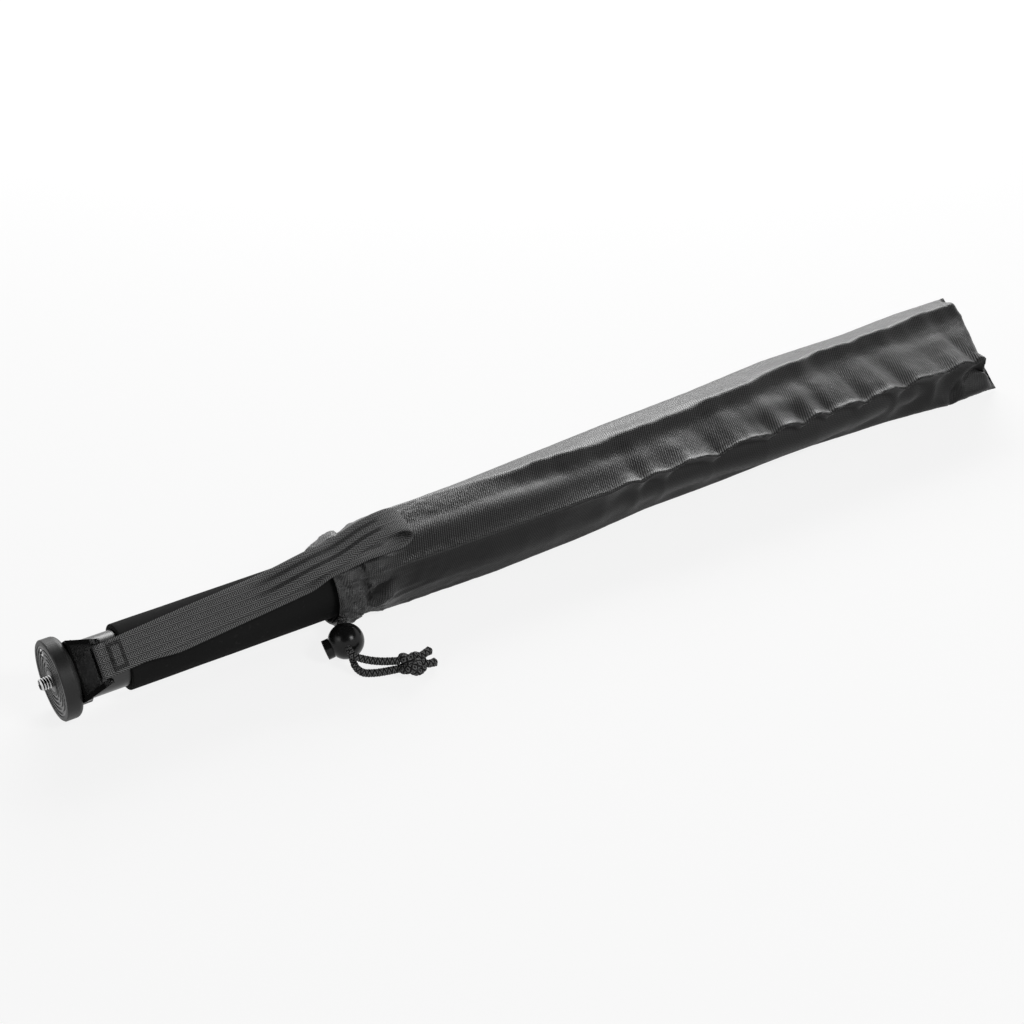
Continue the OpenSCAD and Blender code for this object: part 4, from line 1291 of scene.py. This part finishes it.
def mouldedFinish(wire, dullest=0.14):
    place = places(wire)
    peel = cloud(wire, place, 620.0, 2.0)
    handled = cloud(wire, place, 90.0, 3.0)
    return {
        "Base Color": handled.colours(grey(0.004), grey(0.01)),
        "Roughness": dullest * (1 + 0.85 * handled + 0.4 * peel),
        "Normal": peel.bump(0.00003, 0.3),
    }


def tubeFinish(wire):
    place = places(wire)
    drawn = cloud(wire, stretched(wire, place, (12.0, 1500.0, 1500.0)), 1.0, 3.0)
    handled = cloud(wire, place, 60.0, 2.0)
    return {
        "Base Color": (drawn * 0.6 + handled * 0.4).colours(grey(0.035), grey(0.08)),
        "Roughness": 0.24 + 0.14 * drawn,
        "Normal": drawn.bump(0.00001, 0.35),
    }


def rubberFinish(wire):
    place = places(wire)
    grain = cloud(wire, place, 1900.0, 3.0, 0.65)
    dust = cloud(wire, place, 240.0, 3.0).over(0.5, 0.75)
    return {
        "Base Color": (grain * 0.6 + dust * 0.4).colours(grey(0.006), grey(0.03)),
        "Roughness": 0.62 + 0.25 * grain,
        "Normal": grain.bump(0.00005, 0.5),
    }


def slidePlasticFinish(wire):
    place = places(wire)
    flow = cloud(wire, stretched(wire, place, (40.0, 190.0, 190.0)), 1.0, 2.0)
    grease = cloud(wire, place, 320.0, 2.0)
    return {
        "Base Color": flow.colours(grey(0.58, 0.03), grey(0.72, 0.05)),
        "Roughness": 0.34 + 0.2 * grease,
        "Normal": flow.bump(0.00003, 0.3),
    }


def alloyFinish(wire):
    place = places(wire)
    turned = part(wire, place, "X").wave(0.0003) * 0.5 + 0.5
    grain = cloud(wire, place, 900.0, 2.0)
    return {
        "Base Color": grain.colours(grey(0.4), grey(0.55)),
        "Roughness": 0.28 + 0.12 * turned,
        "Normal": turned.bump(0.00001, 0.4),
    }


finishes = {
    "plateSatin": ({"Specular IOR Level": 0.3}, plateFinish),
    "mouldedGloss": ({"Specular IOR Level": 0.24}, mouldedFinish),
    "bracketGloss": ({"Specular IOR Level": 0.24}, lambda wire: mouldedFinish(wire, 0.06)),
    "tubeGrey": ({"Metallic": 1.0}, tubeFinish),
    "rubberBlack": ({"Specular IOR Level": 0.12}, rubberFinish),
    "slidePlastic": ({"Subsurface Weight": 0.1, "Subsurface Scale": 0.001}, slidePlasticFinish),
    "turnedAlloy": ({"Metallic": 1.0}, alloyFinish),
}
made = {name: makeFinish(name, *values) for name, values in finishes.items()}
made["brightSteel"] = brightSteel
made["braidBlack"] = braidBlack

wearers = {
    "plateSatin": ("camera_plate",),
    "brightSteel": ("set_screw",),
    "turnedAlloy": ("neck_plug",),
    "bracketGloss": ("neck_collar",),
    "mouldedGloss": ("lock_sleeve_", "twist_collar_", "foot_plug", "cord_lock_body", "cord_lock_button"),
    "tubeGrey": ("main_tube", "leg_tube_"),
    "slidePlastic": ("lock_collet_", "guide_bush_"),
    "rubberBlack": ("collar_band_", "rubber_foot"),
    "braidBlack": ("hem_cord",),
}
for finish, starts in wearers.items():
    for name, node in nodes.items():
        if name.startswith(starts):
            node.data.materials.clear()
            node.data.materials.append(made[finish])
neck = {"edge": 0.45, "segments": 3, "sharp": 40.0, "flat": 2.0}
for kind, values in (  # the moulding's edges are rounded, so that they catch the light
        ("WELD", {"merge_threshold": same}),
        ("DECIMATE", {"decimate_type": "DISSOLVE", "angle_limit": math.radians(neck["flat"])}),
        ("BEVEL", {"width": neck["edge"] * mm, "segments": neck["segments"], "limit_method": "ANGLE",
                   "angle_limit": math.radians(neck["sharp"])})):
    modifier = nodes["neck_collar"].modifiers.new(kind, kind)
    for key, value in values.items():
        setattr(modifier, key, value)
print("finishes on")
